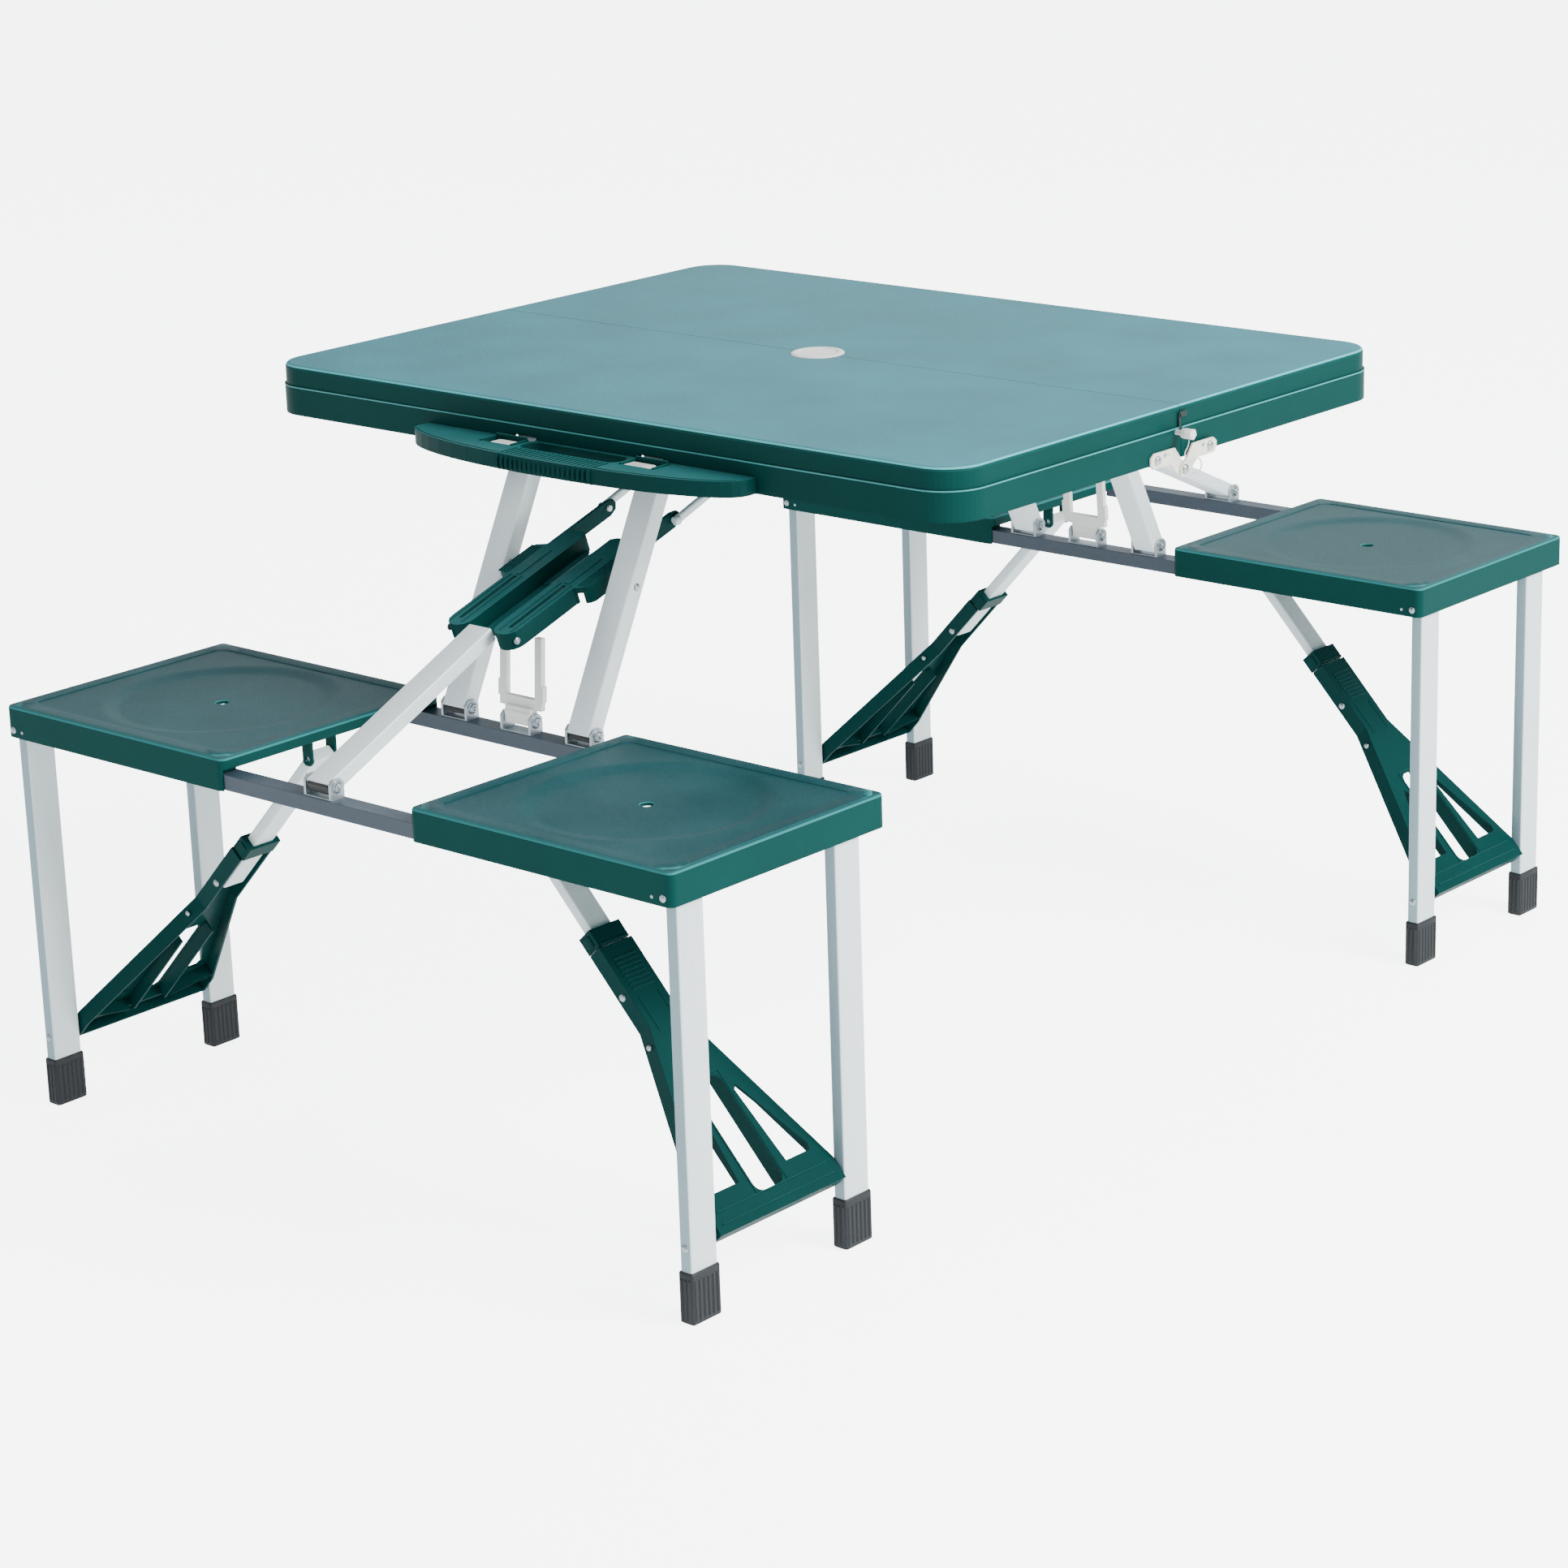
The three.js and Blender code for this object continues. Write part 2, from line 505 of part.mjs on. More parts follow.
// The brace: a flared plate with a narrow neck, hollow on its inner side.
function brace() {
  const web = [-9, -6.4];
  const deep = 6.5;
  const neck = BRACE.length + NECK_END;
  const flare = BRACE.length - 34;
  const wall = 2.6;
  const low = -5;
  const plan = (inset) => [
    [low + inset, -BRACE_HALF_WIDTH + inset], [low + inset, BRACE_HALF_WIDTH - inset],
    [16, BRACE_HALF_WIDTH - inset], [flare, NECK_HALF_WIDTH - inset], [neck + (inset ? 1 : 0), NECK_HALF_WIDTH - inset],
    [neck + (inset ? 1 : 0), -NECK_HALF_WIDTH + inset], [flare, -NECK_HALF_WIDTH + inset], [16, -BRACE_HALF_WIDTH + inset],
  ];
  // Drawn flat with s along X, the width along Y and the thickness along Z, then laid on the member's line.
  const tray = cut(prism('z', plan(0), web[0], deep), prism('z', plan(wall), web[1], deep + 1));
  const windowShape = roundedRectangle(15, 124, -17.5, 17.5, 9);
  const sides = [-1, 1].map((side) => prism('z', [
    [30, side * 30], [30, side * 60], [36, side * 62], [108, side * 28], [104, side * 24],
  ], web[0] - 1, deep + 1));
  const ribs = [
    ...[-1, 1].map((side) => block(13, 128, side * 19 - 1.2, side * 19 + 1.2, web[0], deep)),
    ...[-1, 1].map((side) => prism('z', [[14, side * 24], [14, side * 27], [27, side * 74], [27, side * 71]], web[0], deep)),
    block(12, 14.5, -76, 76, web[0], 2),
  ];
  const knee = rod('y', BRACE.length, 0, PIN_RADIUS + PIN_GAP, -NECK_HALF_WIDTH - 1, NECK_HALF_WIDTH + 1);
  const flat = cut(join(cut(tray, sides), ribs.map((r) => r.intersect(prism('z', plan(0.5), web[0], deep)))),
    prism('z', windowShape, web[0] - 1, deep + 1), knee);
  return layOn(BRACE, flat);
}

// Lays a piece drawn along X on a member in the X-Z plane, at the brace's place across the seat.
function layOn(member, solid) {
  const origin = member.at(0, 0);
  const forward = member.at(1, 0);
  const s = new THREE.Vector3(forward[0] - origin[0], 0, forward[1] - origin[1]);
  const n = new THREE.Vector3(-s.z, 0, s.x);
  const across = new THREE.Vector3().crossVectors(n, s);
  const place = new THREE.Matrix4().makeBasis(s, across, n).setPosition(origin[0], BRACE_Y, origin[1]);
  return solid.transform(place.elements);
}

function stay() {
  const y = (half) => [BRACE_Y - half, BRACE_Y + half];
  const bar = strip('y', STAY, 0, STAY.length, -STAY_HALF_THICK, STAY_HALF_THICK, ...y(STAY_HALF_WIDTH));
  const kneeEnd = rod('y', ...KNEE, STAY_HALF_THICK, ...y(STAY_HALF_WIDTH));
  const head = rod('y', ...STAY_PIVOT, STAY_HALF_THICK, ...y(STAY_HALF_WIDTH));
  const headPin = rod('y', ...STAY_PIVOT, PIN_RADIUS, ...y(STAY_HALF_WIDTH + 3));
  const kneePin = rod('y', ...KNEE, PIN_RADIUS, ...y(NECK_HALF_WIDTH + 0.8));
  return join(bar, kneeEnd, head, headPin, kneePin);
}

function collar() {
  const start = NECK_END + 1.2;
  const end = start + COLLAR_LENGTH;
  const outer = strip('y', STAY, start, end, -8.5, 8.5, BRACE_Y - 18.5, BRACE_Y + 18.5);
  const bore = strip('y', STAY, start - 1, end + 1, -STAY_HALF_THICK - GAP, STAY_HALF_THICK + GAP,
    BRACE_Y - STAY_HALF_WIDTH - GAP, BRACE_Y + STAY_HALF_WIDTH + GAP);
  return cut(outer, bore);
}

// A seat with its legs, brace, stay and collar. side is 1 on the +X side and -1 on the -X side.
function seatStation(row, side) {
  const hand = side > 0 ? 'right' : 'left';
  const name = (piece) => `${row}_${hand}_${piece}`;
  const facing = (solid) => (side > 0 ? solid : solid.mirror([1, 0, 0]));
  const legNames = ['near', 'far'];
  const pieces = [
    node(name('seat'), GREEN, facing(seatShell())),
    node(name('brace'), GREEN, facing(brace())),
    node(name('stay_tube'), ALUMINIUM, facing(stay())),
    node(name('locking_collar'), GREEN, facing(collar())),
  ];
  LEG_OFFSETS.forEach((y, i) => {
    pieces.push(node(name(`${legNames[i]}_leg`), ALUMINIUM, facing(leg(y))));
    pieces.push(node(name(`${legNames[i]}_foot`), RUBBER, facing(foot(y))));
  });
  return groupOf(pieces);
}

// ---------------------------------------------------------------- the frame that carries a row of seats

const SUPPORT = along(SUPPORT_FOOT, SUPPORT_HEAD);
const ARM_HEAD = meet(ARM_FOOT, ARM_LENGTH, CHANNEL_HEAD, CHANNEL_LENGTH);
const ARM = along(ARM_FOOT, ARM_HEAD);
const CHANNEL = along(ARM_HEAD, CHANNEL_HEAD);
const RODS = along(CHANNEL_HEAD, ROD_HEAD);

function support(x) {
  const span = (half) => [x - half, x + half];
  const bar = strip('x', SUPPORT, 0, SUPPORT.length, -SUPPORT_HALF_THICK, SUPPORT_HALF_THICK, ...span(SUPPORT_HALF_WIDTH));
  const ends = [SUPPORT_HEAD, SUPPORT_FOOT].map((p) => rod('x', ...p, SUPPORT_HALF_THICK, ...span(SUPPORT_HALF_WIDTH)));
  const pins = [SUPPORT_HEAD, SUPPORT_FOOT].map((p) => rod('x', ...p, PIN_RADIUS, ...span(SUPPORT_HALF_WIDTH + 3)));
  return join(bar, ends, pins);
}

function diagonalArm() {
  const bar = strip('x', ARM, -6, ARM.length + 2.5, -ARM_HALF_THICK, ARM_HALF_THICK, -ARM_HALF_WIDTH, ARM_HALF_WIDTH);
  return join(bar, rod('x', ...ARM_FOOT, PIN_RADIUS, -ARM_HALF_WIDTH - 3, ARM_HALF_WIDTH + 3));
}

// The moulded channel that the arm folds into: two hollow side rails, a trough floor and two ears.
// It is drawn flat, with s along X, the width along Y and the thickness along Z.
function lockingChannel() {
  const inner = ARM_HALF_WIDTH + 1.3;
  const outer = 42.5;
  const wide = 57;
  const [under, lid, top] = [-9.5, 4.6, 7];
  const tipRadius = (outer - inner) / 2;
  const tip = Array.from({ length: 9 }, (_, i) => {
    const angle = (90 + i * 22.5) * Math.PI / 180;
    return [tipRadius - 4 + tipRadius * Math.cos(angle), (inner + outer) / 2 + tipRadius * Math.sin(angle)];
  });
  const plan = [
    ...tip, [164, inner], [168, inner + 6], [168, outer], [140, outer], [136, wide - 4], [131, wide],
    [92, wide], [87, wide - 3], [82, outer],
  ];
  const wall = 2.4;
  const bore = [
    [8, inner + wall], [164, inner + wall], [164, outer - wall], [139, outer - wall], [134, wide - 5],
    [130, wide - wall], [93, wide - wall], [89, wide - 4], [84, outer - wall], [8, outer - wall],
  ];
  const ears = [
    [160, under + 1.5], [CHANNEL.length, under + 1.5], [CHANNEL.length + 8, -5], [CHANNEL.length + 10, 0],
    [CHANNEL.length + 8, 5], [CHANNEL.length, top], [160, top],
  ];
  const half = join(
    cut(prism('z', plan, under, top), prism('z', bore, under - 1, lid)),
    prism('y', ears, outer - 4, outer),
  );
  const slot = prism('z', roundedRectangle(8, 84, 28.8, 33.2, 2.1), 0, top + 1, { curveSegments: 3 });
  const rodWay = block(80, 145, outer + 0.7, outer + 7.7, under - 1, 1.2);
  const side = cut(half, slot, rodWay);
  const floor = cut(
    block(98, 160, -inner - 1, inner + 1, under, under + 1.9),
    rod('z', 164, 0, 13, under - 1, under + 3, 20),
  );
  const flat = cut(join(side, side.mirror([0, 1, 0]), floor), rod('y', CHANNEL.length, 0, ROD_RADIUS + PIN_GAP, -60, 60));
  const forward = CHANNEL.at(1, 0);
  const up = CHANNEL.at(0, 1);
  const along3 = new THREE.Vector3(0, forward[0] - ARM_HEAD[0], forward[1] - ARM_HEAD[1]);
  const up3 = new THREE.Vector3(0, up[0] - ARM_HEAD[0], up[1] - ARM_HEAD[1]);
  const place = new THREE.Matrix4().makeBasis(along3, new THREE.Vector3().crossVectors(up3, along3), up3);
  place.setPosition(0, ...ARM_HEAD);
  return flat.transform(place.elements);
}

// Two rods joined across their top ends, with their lower ends turned in through the channel's ears.
function rodLink() {
  const sides = [-1, 1].flatMap((side) => {
    const span = (a, b) => (side > 0 ? [a, b] : [-b, -a]);
    return [
      strip('x', RODS, 0, RODS.length, -2.6, 2.6, ...span(ROD_X - 2.6, ROD_X + 2.6)),
      rod('x', ...CHANNEL_HEAD, ROD_RADIUS, ...span(36.5, ROD_X + 2.6)),
      rod('x', ...ROD_HEAD, ROD_RADIUS, ...span(-1, ROD_X + 2.6)),
    ];
  });
  return join(sides);
}

function lockingFork() {
  const angle = THREE.MathUtils.degToRad(90 - FORK_LEAN);
  const line = along([INNER_Y, RAIL_PIVOT_Z], [INNER_Y + Math.cos(angle), RAIL_PIVOT_Z + Math.sin(angle)]);
  const part = (s0, s1, n0, n1, x0, x1) => strip('x', line, s0, s1, n0, n1, x0, x1);
  const base = part(-4, 12, -4.5, 4.5, -16, 16);
  const bridge = part(11, 21, -4.5, 1, -26, 26);
  const prongs = [-1, 1].flatMap((side) => {
    const span = (a, b) => (side > 0 ? [a, b] : [-b, -a]);
    return [part(19, FORK_LENGTH, -4.5, 1, ...span(18, 26)), part(19, 34, -4.5, 1, ...span(18, 28))];
  });
  const pin = rod('x', INNER_Y, RAIL_PIVOT_Z, PIN_RADIUS, -18.6, 18.6);
  return join(base, bridge, prongs, pin);
}

// The frame's pieces for the -Y row. The +Y row is the same, turned half round.
function frameStation(row) {
  const name = (piece) => `${row}_${piece}`;
  return groupOf(
    node(name('outer_rail'), RAIL_PAINT, rail(OUTER_Y, [[0, ARM_HALF_WIDTH]])),
    node(name('inner_rail'), RAIL_PAINT, rail(INNER_Y, [
      [-SUPPORT_X, SUPPORT_HALF_WIDTH], [0, 16], [SUPPORT_X, SUPPORT_HALF_WIDTH],
    ])),
    node(name('left_support'), ALUMINIUM, support(row === 'front' ? -SUPPORT_X : SUPPORT_X)),
    node(name('right_support'), ALUMINIUM, support(row === 'front' ? SUPPORT_X : -SUPPORT_X)),
    node(name('diagonal_arm'), ALUMINIUM, diagonalArm()),
    node(name('locking_channel'), GREEN, lockingChannel()),
    node(name('rod_link'), ALUMINIUM, rodLink()),
    node(name('locking_fork'), WHITE, lockingFork()),
  );
}

// ---------------------------------------------------------------- assembly

const table = new THREE.Group();

const pinBore = rod('x', ...LOCK_PIN, 2.4 + GAP, TOP_LENGTH / 2 - 8, TOP_LENGTH / 2 + 1, 12);
const frontGroup = groupOf(
  node('top_front_half', GREEN, cut(topHalf(), pinBore)),
  node('carry_handle', GREEN, carryHandle()),
  node('left_handle_latch', WHITE, handleLatch(-1)),
  node('right_handle_latch', WHITE, handleLatch(1)),
  node('umbrella_hole_cap', WHITE, umbrellaCap()),
  node('right_hinge_front_plate', STEEL, hingePlate(true)),
  node('right_hinge_back_plate', STEEL, hingePlate(false)),
  node('lock_pin', WHITE, lockPin()),
  node('lock_pin_tether', WHITE, lockPinTether()),
);

// Turned half round about Z: the other half of the top, and the hinge at the other end of the seam.
const backGroup = groupOf(
  node('top_back_half', GREEN, topHalf()),
  node('left_hinge_back_plate', STEEL, hingePlate(true)),
  node('left_hinge_front_plate', STEEL, hingePlate(false)),
  frameStation('back'),
);
backGroup.rotation.z = Math.PI;

const frontSeats = groupOf(seatStation('front', -1), seatStation('front', 1));
frontSeats.position.y = -SEAT_CENTRE_Y;
const backSeats = groupOf(seatStation('back', -1), seatStation('back', 1));
backSeats.position.y = SEAT_CENTRE_Y;

table.add(frontGroup, frameStation('front'), backGroup, frontSeats, backSeats);

export default table;
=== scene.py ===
import math

import bmesh
import bpy
from mathutils import Matrix, Vector


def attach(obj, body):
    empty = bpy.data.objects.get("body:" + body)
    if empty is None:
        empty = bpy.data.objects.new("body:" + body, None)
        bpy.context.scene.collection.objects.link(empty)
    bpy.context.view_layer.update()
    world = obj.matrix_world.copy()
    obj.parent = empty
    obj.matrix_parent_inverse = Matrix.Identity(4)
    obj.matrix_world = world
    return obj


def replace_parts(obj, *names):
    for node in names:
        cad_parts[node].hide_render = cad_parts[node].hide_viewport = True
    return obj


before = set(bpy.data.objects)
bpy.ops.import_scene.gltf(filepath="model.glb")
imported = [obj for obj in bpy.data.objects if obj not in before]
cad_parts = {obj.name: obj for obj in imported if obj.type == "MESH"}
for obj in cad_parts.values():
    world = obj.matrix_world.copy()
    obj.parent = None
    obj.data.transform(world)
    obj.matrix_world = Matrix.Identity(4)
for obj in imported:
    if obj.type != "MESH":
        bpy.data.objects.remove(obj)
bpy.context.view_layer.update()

MM = 0.001

# Sizes in millimetres, in the CAD frame: the front (-Y) row and the right (+X) side.
TOP_HEIGHT = 655
HALF_LENGTH = 427.5
HALF_WIDTH = 320
CASE_EDGE = 607
SEAT_CENTRE_Y = 541
SEAT_X = (118, 418)
SEAT_HALF = 133
SEAT_HEIGHT = 396
LEG_X = 408.65
LEG_OFFSETS = (-108, 86)
LEG_SIZE = (32, 12.5)
LEG_TOP = 379
BRACE_Y = -11
BRACE_FOOT = (LEG_X, 67)
STAY_TOP = (126, 368)
KNEE = (259.381, 225.959)
PIVOT_Z = 392
INNER_Y = -420.5
OUTER_Y = -661.5
SUPPORT_HEAD = (-298, 638)
ARM_HEAD = (-464.913, 481.496)
CHANNEL_HEAD = (-255, 549)
ROD_HEAD = (-8, 638)
SUPPORT_X = 79
HINGE_Z = 596.5
RIM_HIGHLIGHT_Z = 634.2
RIM_HIGHLIGHT_OUT = -0.2

# The camera's place in metres, its yaw, pitch and roll, and its lens in millimetres.
CAMERA_PLACE = (2.5649, -2.9326, 1.4311)
CAMERA_TURN = (0.7303, -0.3001, -0.033)
CAMERA_LENS = 94.96

# The floor, in metres, and how brightly it glows for the object and for the camera.
FLOOR_SIZE = 90
FLOOR_GLOW, FLOOR_GLOW_SEEN = 0.7, 5.5


# ---------------------------------------------------------------- camera and light

def look(yaw, pitch, roll):
    forward = Vector((-math.sin(yaw) * math.cos(pitch), math.cos(yaw) * math.cos(pitch), math.sin(pitch)))
    level = Vector((math.cos(yaw), math.sin(yaw), 0))
    up = level.cross(forward)
    right = math.cos(roll) * level + math.sin(roll) * up
    up = -math.sin(roll) * level + math.cos(roll) * up
    return Matrix((right, up, -forward)).transposed()


camera = bpy.data.objects.new("camera", bpy.data.cameras.new("camera"))
bpy.context.scene.collection.objects.link(camera)
camera.matrix_world = Matrix.Translation(CAMERA_PLACE) @ look(*CAMERA_TURN).to_4x4()
camera.data.sensor_width = 36
camera.data.lens = CAMERA_LENS
camera.data.clip_start, camera.data.clip_end = 0.1, 60
bpy.context.scene.camera = camera

world = bpy.data.worlds.new("studio")
world.use_nodes = True
world.node_tree.nodes["Background"].inputs["Color"].default_value = (0.93, 0.97, 1.0, 1)
world.node_tree.nodes["Background"].inputs["Strength"].default_value = 0.80
bpy.context.scene.world = world


def softbox(name, place, target, size, power, color=(1, 1, 1)):
    data = bpy.data.lights.new(name, "AREA")
    data.shape, data.size, data.size_y = "RECTANGLE", size[0], size[1]
    data.energy, data.color = power, color
    light = bpy.data.objects.new(name, data)
    bpy.context.scene.collection.objects.link(light)
    light.location = place
    light.rotation_euler = (Vector(target) - Vector(place)).to_track_quat("-Z", "Y").to_euler()
    return light


softbox("key_light", (3.4, 0.6, 3.0), (0, 0, 0.4), (2.0, 2.4), 330, (1.0, 0.99, 0.97))
softbox("back_light", (-2.2, 3.6, 2.4), (0, 0, 0.5), (3.2, 1.8), 24, (0.92, 0.98, 1.0))
softbox("front_light", (-1.8, -3.8, 1.6), (0, 0, 0.4), (2.0, 2.0), 7)


# ---------------------------------------------------------------- materials

def shader(name):
    material = bpy.data.materials.new(name)
    material.use_nodes = True
    nodes, links = material.node_tree.nodes, material.node_tree.links
    return material, nodes, links, nodes["Principled BSDF"]


def add(nodes, kind, **values):
    node = nodes.new(kind)
    for key, value in values.items():
        setattr(node, key, value)
    return node


def noise(nodes, links, coordinate, scale, detail=2.0, stretch=None):
    texture = add(nodes, "ShaderNodeTexNoise")
    texture.inputs["Scale"].default_value = scale
    texture.inputs["Detail"].default_value = detail
    if stretch:
        mapping = add(nodes, "ShaderNodeMapping")
        mapping.inputs["Scale"].default_value = stretch
        links.new(coordinate, mapping.inputs["Vector"])
        coordinate = mapping.outputs["Vector"]
    links.new(coordinate, texture.inputs["Vector"])
    return texture.outputs["Fac"]


def mapped(nodes, links, value, low, high, to_low, to_high):
    node = add(nodes, "ShaderNodeMapRange")
    for key, number in zip(("From Min", "From Max", "To Min", "To Max"), (low, high, to_low, to_high)):
        node.inputs[key].default_value = number
    links.new(value, node.inputs["Value"])
    return node.outputs["Result"]


def mix(nodes, links, factor, first, second):
    node = add(nodes, "ShaderNodeMix", data_type="RGBA")
    links.new(factor, node.inputs[0])
    for socket, value in ((node.inputs[6], first), (node.inputs[7], second)):
        if isinstance(value, tuple):
            socket.default_value = (*value, 1)
        else:
            links.new(value, socket)
    return node.outputs[2]


def math_node(nodes, links, operation, first, second):
    node = add(nodes, "ShaderNodeMath", operation=operation)
    for socket, value in zip(node.inputs, (first, second)):
        if isinstance(value, (int, float)):
            socket.default_value = value
        else:
            links.new(value, socket)
    return node.outputs[0]


def rounded_bump(nodes, links, bsdf, height, strength, distance, radius=0.0012):
    """Grain over edges that are softened as a mould leaves them."""
    bevel = add(nodes, "ShaderNodeBevel", samples=4)
    bevel.inputs["Radius"].default_value = radius
    bump = add(nodes, "ShaderNodeBump")
    bump.inputs["Distance"].default_value = distance
    if isinstance(strength, (int, float)):
        bump.inputs["Strength"].default_value = strength
    else:
        links.new(strength, bump.inputs["Strength"])
    links.new(height, bump.inputs["Height"])
    links.new(bevel.outputs["Normal"], bump.inputs["Normal"])
    links.new(bump.outputs["Normal"], bsdf.inputs["Normal"])


def green_plastic(name, side, face, grain=0.35, radius=0.0014, edge_highlight=None):
    """Moulded plastic: smooth on the sides, with a leather grain on faces that look up. The sides are painted dark as
    painted shade and the up faces lighter as painted light; an edge highlight colour, if given, is a painted highlight
    on rounded edges.
    """
    material, nodes, links, bsdf = shader(name)
    place = add(nodes, "ShaderNodeTexCoord")
    split = add(nodes, "ShaderNodeSeparateXYZ")
    links.new(place.outputs["Normal"], split.inputs["Vector"])
    up = mapped(nodes, links, split.outputs["Z"], 0.80, 0.97, 0.0, 1.0)
    cells = add(nodes, "ShaderNodeTexVoronoi", feature="F1")
    cells.inputs["Scale"].default_value = 620
    links.new(place.outputs["Object"], cells.inputs["Vector"])
    fine = noise(nodes, links, place.outputs["Object"], 1500, 3)
    height = math_node(nodes, links, "ADD", cells.outputs["Distance"], fine)
    cloud = noise(nodes, links, place.outputs["Object"], 9, 4)
    patch = mapped(nodes, links, cloud, 0.35, 0.68, 0.0, 1.0)
    speck = mapped(nodes, links, fine, 0.40, 0.66, 0.0, 1.0)
    lighter = tuple(min(1, c * 1.35 + 0.016) for c in face)
    lit_face_colour = mix(nodes, links, patch, face, lighter)
    lit_face_colour = mix(nodes, links, math_node(nodes, links, "MULTIPLY", speck, 0.55), lit_face_colour, lighter)
    shaded_side_colour = mix(nodes, links, patch, side, tuple(c * 1.15 for c in side))
    # Painted light and shade: faces that look up take the lighter face colour, the sides the darker side colour.
    colour = mix(nodes, links, up, shaded_side_colour, lit_face_colour)
    # Painted highlight: rounded edges, whose normals lie between up and sideways, take the lighter edge highlight
    # colour.
    if edge_highlight:
        rising = mapped(nodes, links, split.outputs["Z"], 0.25, 0.45, 0.0, 1.0)
        falling = mapped(nodes, links, split.outputs["Z"], 0.82, 0.95, 1.0, 0.0)
        edge_highlight_band = math_node(nodes, links, "MULTIPLY", rising, falling)
        colour = mix(nodes, links, edge_highlight_band, colour, edge_highlight)
    links.new(colour, bsdf.inputs["Base Color"])
    rough = math_node(nodes, links, "ADD", mapped(nodes, links, cloud, 0.3, 0.7, 0.36, 0.42),
                      math_node(nodes, links, "MULTIPLY", up, 0.06))
    links.new(rough, bsdf.inputs["Roughness"])
    links.new(mapped(nodes, links, up, 0, 1, 0.05, 0.17), bsdf.inputs["Specular IOR Level"])
    strength = math_node(nodes, links, "ADD", math_node(nodes, links, "MULTIPLY", up, grain), 0.04)
    rounded_bump(nodes, links, bsdf, height, strength, 0.0004, radius)
    return material


def metal(name, colour, metallic, roughness, axis, second=None, second_above=None, y_face_painted_shade=None):
    """Drawn metal with fine lines along one axis.

    Above a height it can be a second finish, and faces turned to Y can be painted darker as painted shade.
    """
    material, nodes, links, bsdf = shader(name)
    place = add(nodes, "ShaderNodeTexCoord")
    stretch = {"x": (4, 260, 260), "y": (260, 4, 260), "z": (260, 260, 4), "d": (160, 30, 160)}[axis]
    lines = noise(nodes, links, place.outputs["Object"], 6, 3, stretch)
    cloud = noise(nodes, links, place.outputs["Object"], 14, 3)
    shade = mapped(nodes, links, lines, 0.3, 0.7, 0.0, 1.0)
    base = mix(nodes, links, shade, tuple(c * 0.90 for c in colour), colour)
    metallic_value = None
    # Painted shade: faces turned to Y are darkened towards the given colour.
    if y_face_painted_shade:
        facing = add(nodes, "ShaderNodeSeparateXYZ")
        links.new(place.outputs["Normal"], facing.inputs["Vector"])
        sideways = math_node(nodes, links, "ABSOLUTE", facing.outputs["Y"], 0)
        base = mix(nodes, links, mapped(nodes, links, sideways, 0.6, 0.95, 0, 1), base, y_face_painted_shade)
    if second_above is not None:
        split = add(nodes, "ShaderNodeSeparateXYZ")
        links.new(place.outputs["Object"], split.inputs["Vector"])
        mask = math_node(nodes, links, "GREATER_THAN", split.outputs["Z"], second_above)
        base = mix(nodes, links, mask, base, second)
        metallic_value = mapped(nodes, links, mask, 0, 1, metallic, 0.9)
    links.new(base, bsdf.inputs["Base Color"])
    bsdf.inputs["Metallic"].default_value = metallic
    if metallic_value is not None:
        links.new(metallic_value, bsdf.inputs["Metallic"])
    rough = math_node(nodes, links, "ADD", mapped(nodes, links, lines, 0.3, 0.7, roughness - 0.05, roughness + 0.05),
                      mapped(nodes, links, cloud, 0.3, 0.7, -0.03, 0.04))
    links.new(rough, bsdf.inputs["Roughness"])
    rounded_bump(nodes, links, bsdf, lines, 0.06, 0.0002, 0.0008)
    return material


def plain_plastic(name, colour, roughness, scale=900, strength=0.12, radius=0.001, spots=None):
    material, nodes, links, bsdf = shader(name)
    place = add(nodes, "ShaderNodeTexCoord")
    grain = noise(nodes, links, place.outputs["Object"], scale, 3)
    cloud = noise(nodes, links, place.outputs["Object"], 30, 3)
    shade = mapped(nodes, links, cloud, 0.3, 0.7, 0.0, 1.0)
    base = mix(nodes, links, shade, tuple(c * 0.90 for c in colour), colour)
    if spots:
        base = mix(nodes, links, mapped(nodes, links, grain, 0.60, 0.68, 0, 1), base, spots)
    links.new(base, bsdf.inputs["Base Color"])
    links.new(mapped(nodes, links, grain, 0.3, 0.7, roughness - 0.06, roughness + 0.06), bsdf.inputs["Roughness"])
    rounded_bump(nodes, links, bsdf, grain, strength, 0.0003, radius)
    return material


# Side colours are painted shade, face colours are painted light on faces that look up, and edge highlight colours are
# painted highlights on rounded edges.
GREEN = green_plastic("green_plastic", (0.0006, 0.040, 0.036), (0.009, 0.148, 0.186), 0.5,
                      edge_highlight=(0.10, 0.44, 0.47))
GREEN_SEAT = green_plastic("green_plastic_seat", (0.0006, 0.044, 0.040), (0.0015, 0.046, 0.054), 0.45,
                           edge_highlight=(0.05, 0.27, 0.28))
GREEN_FRAME = green_plastic("green_plastic_frame", (0.0008, 0.036, 0.034), (0.004, 0.085, 0.088), 0.15, 0.0008)
# The leg tubes' faces turned to Y are painted darker as painted shade.
ALUMINIUM = metal("aluminium_tube", (0.80, 0.89, 0.92), 0.12, 0.42, "z", y_face_painted_shade=(0.26, 0.38, 0.43))
ALUMINIUM_SLANTED = metal("aluminium_slanted", (0.80, 0.89, 0.92), 0.12, 0.42, "d")
RAIL = metal("rail_coating", (0.030, 0.052, 0.078), 0.0, 0.42, "x", second=(0.40, 0.46, 0.50), second_above=0.3811)
ZINC = metal("zinc", (0.40, 0.46, 0.50), 0.85, 0.26, "z")
CREAM = plain_plastic("cream_plating", (0.86, 0.84, 0.74), 0.34, 420, 0.10, 0.0006, (0.42, 0.39, 0.30))
WHITE = plain_plastic("white_plastic", (0.84, 0.86, 0.82), 0.38)
RUBBER = plain_plastic("foot_rubber", (0.006, 0.010, 0.014), 0.55, 1200, 0.3, 0.0012)
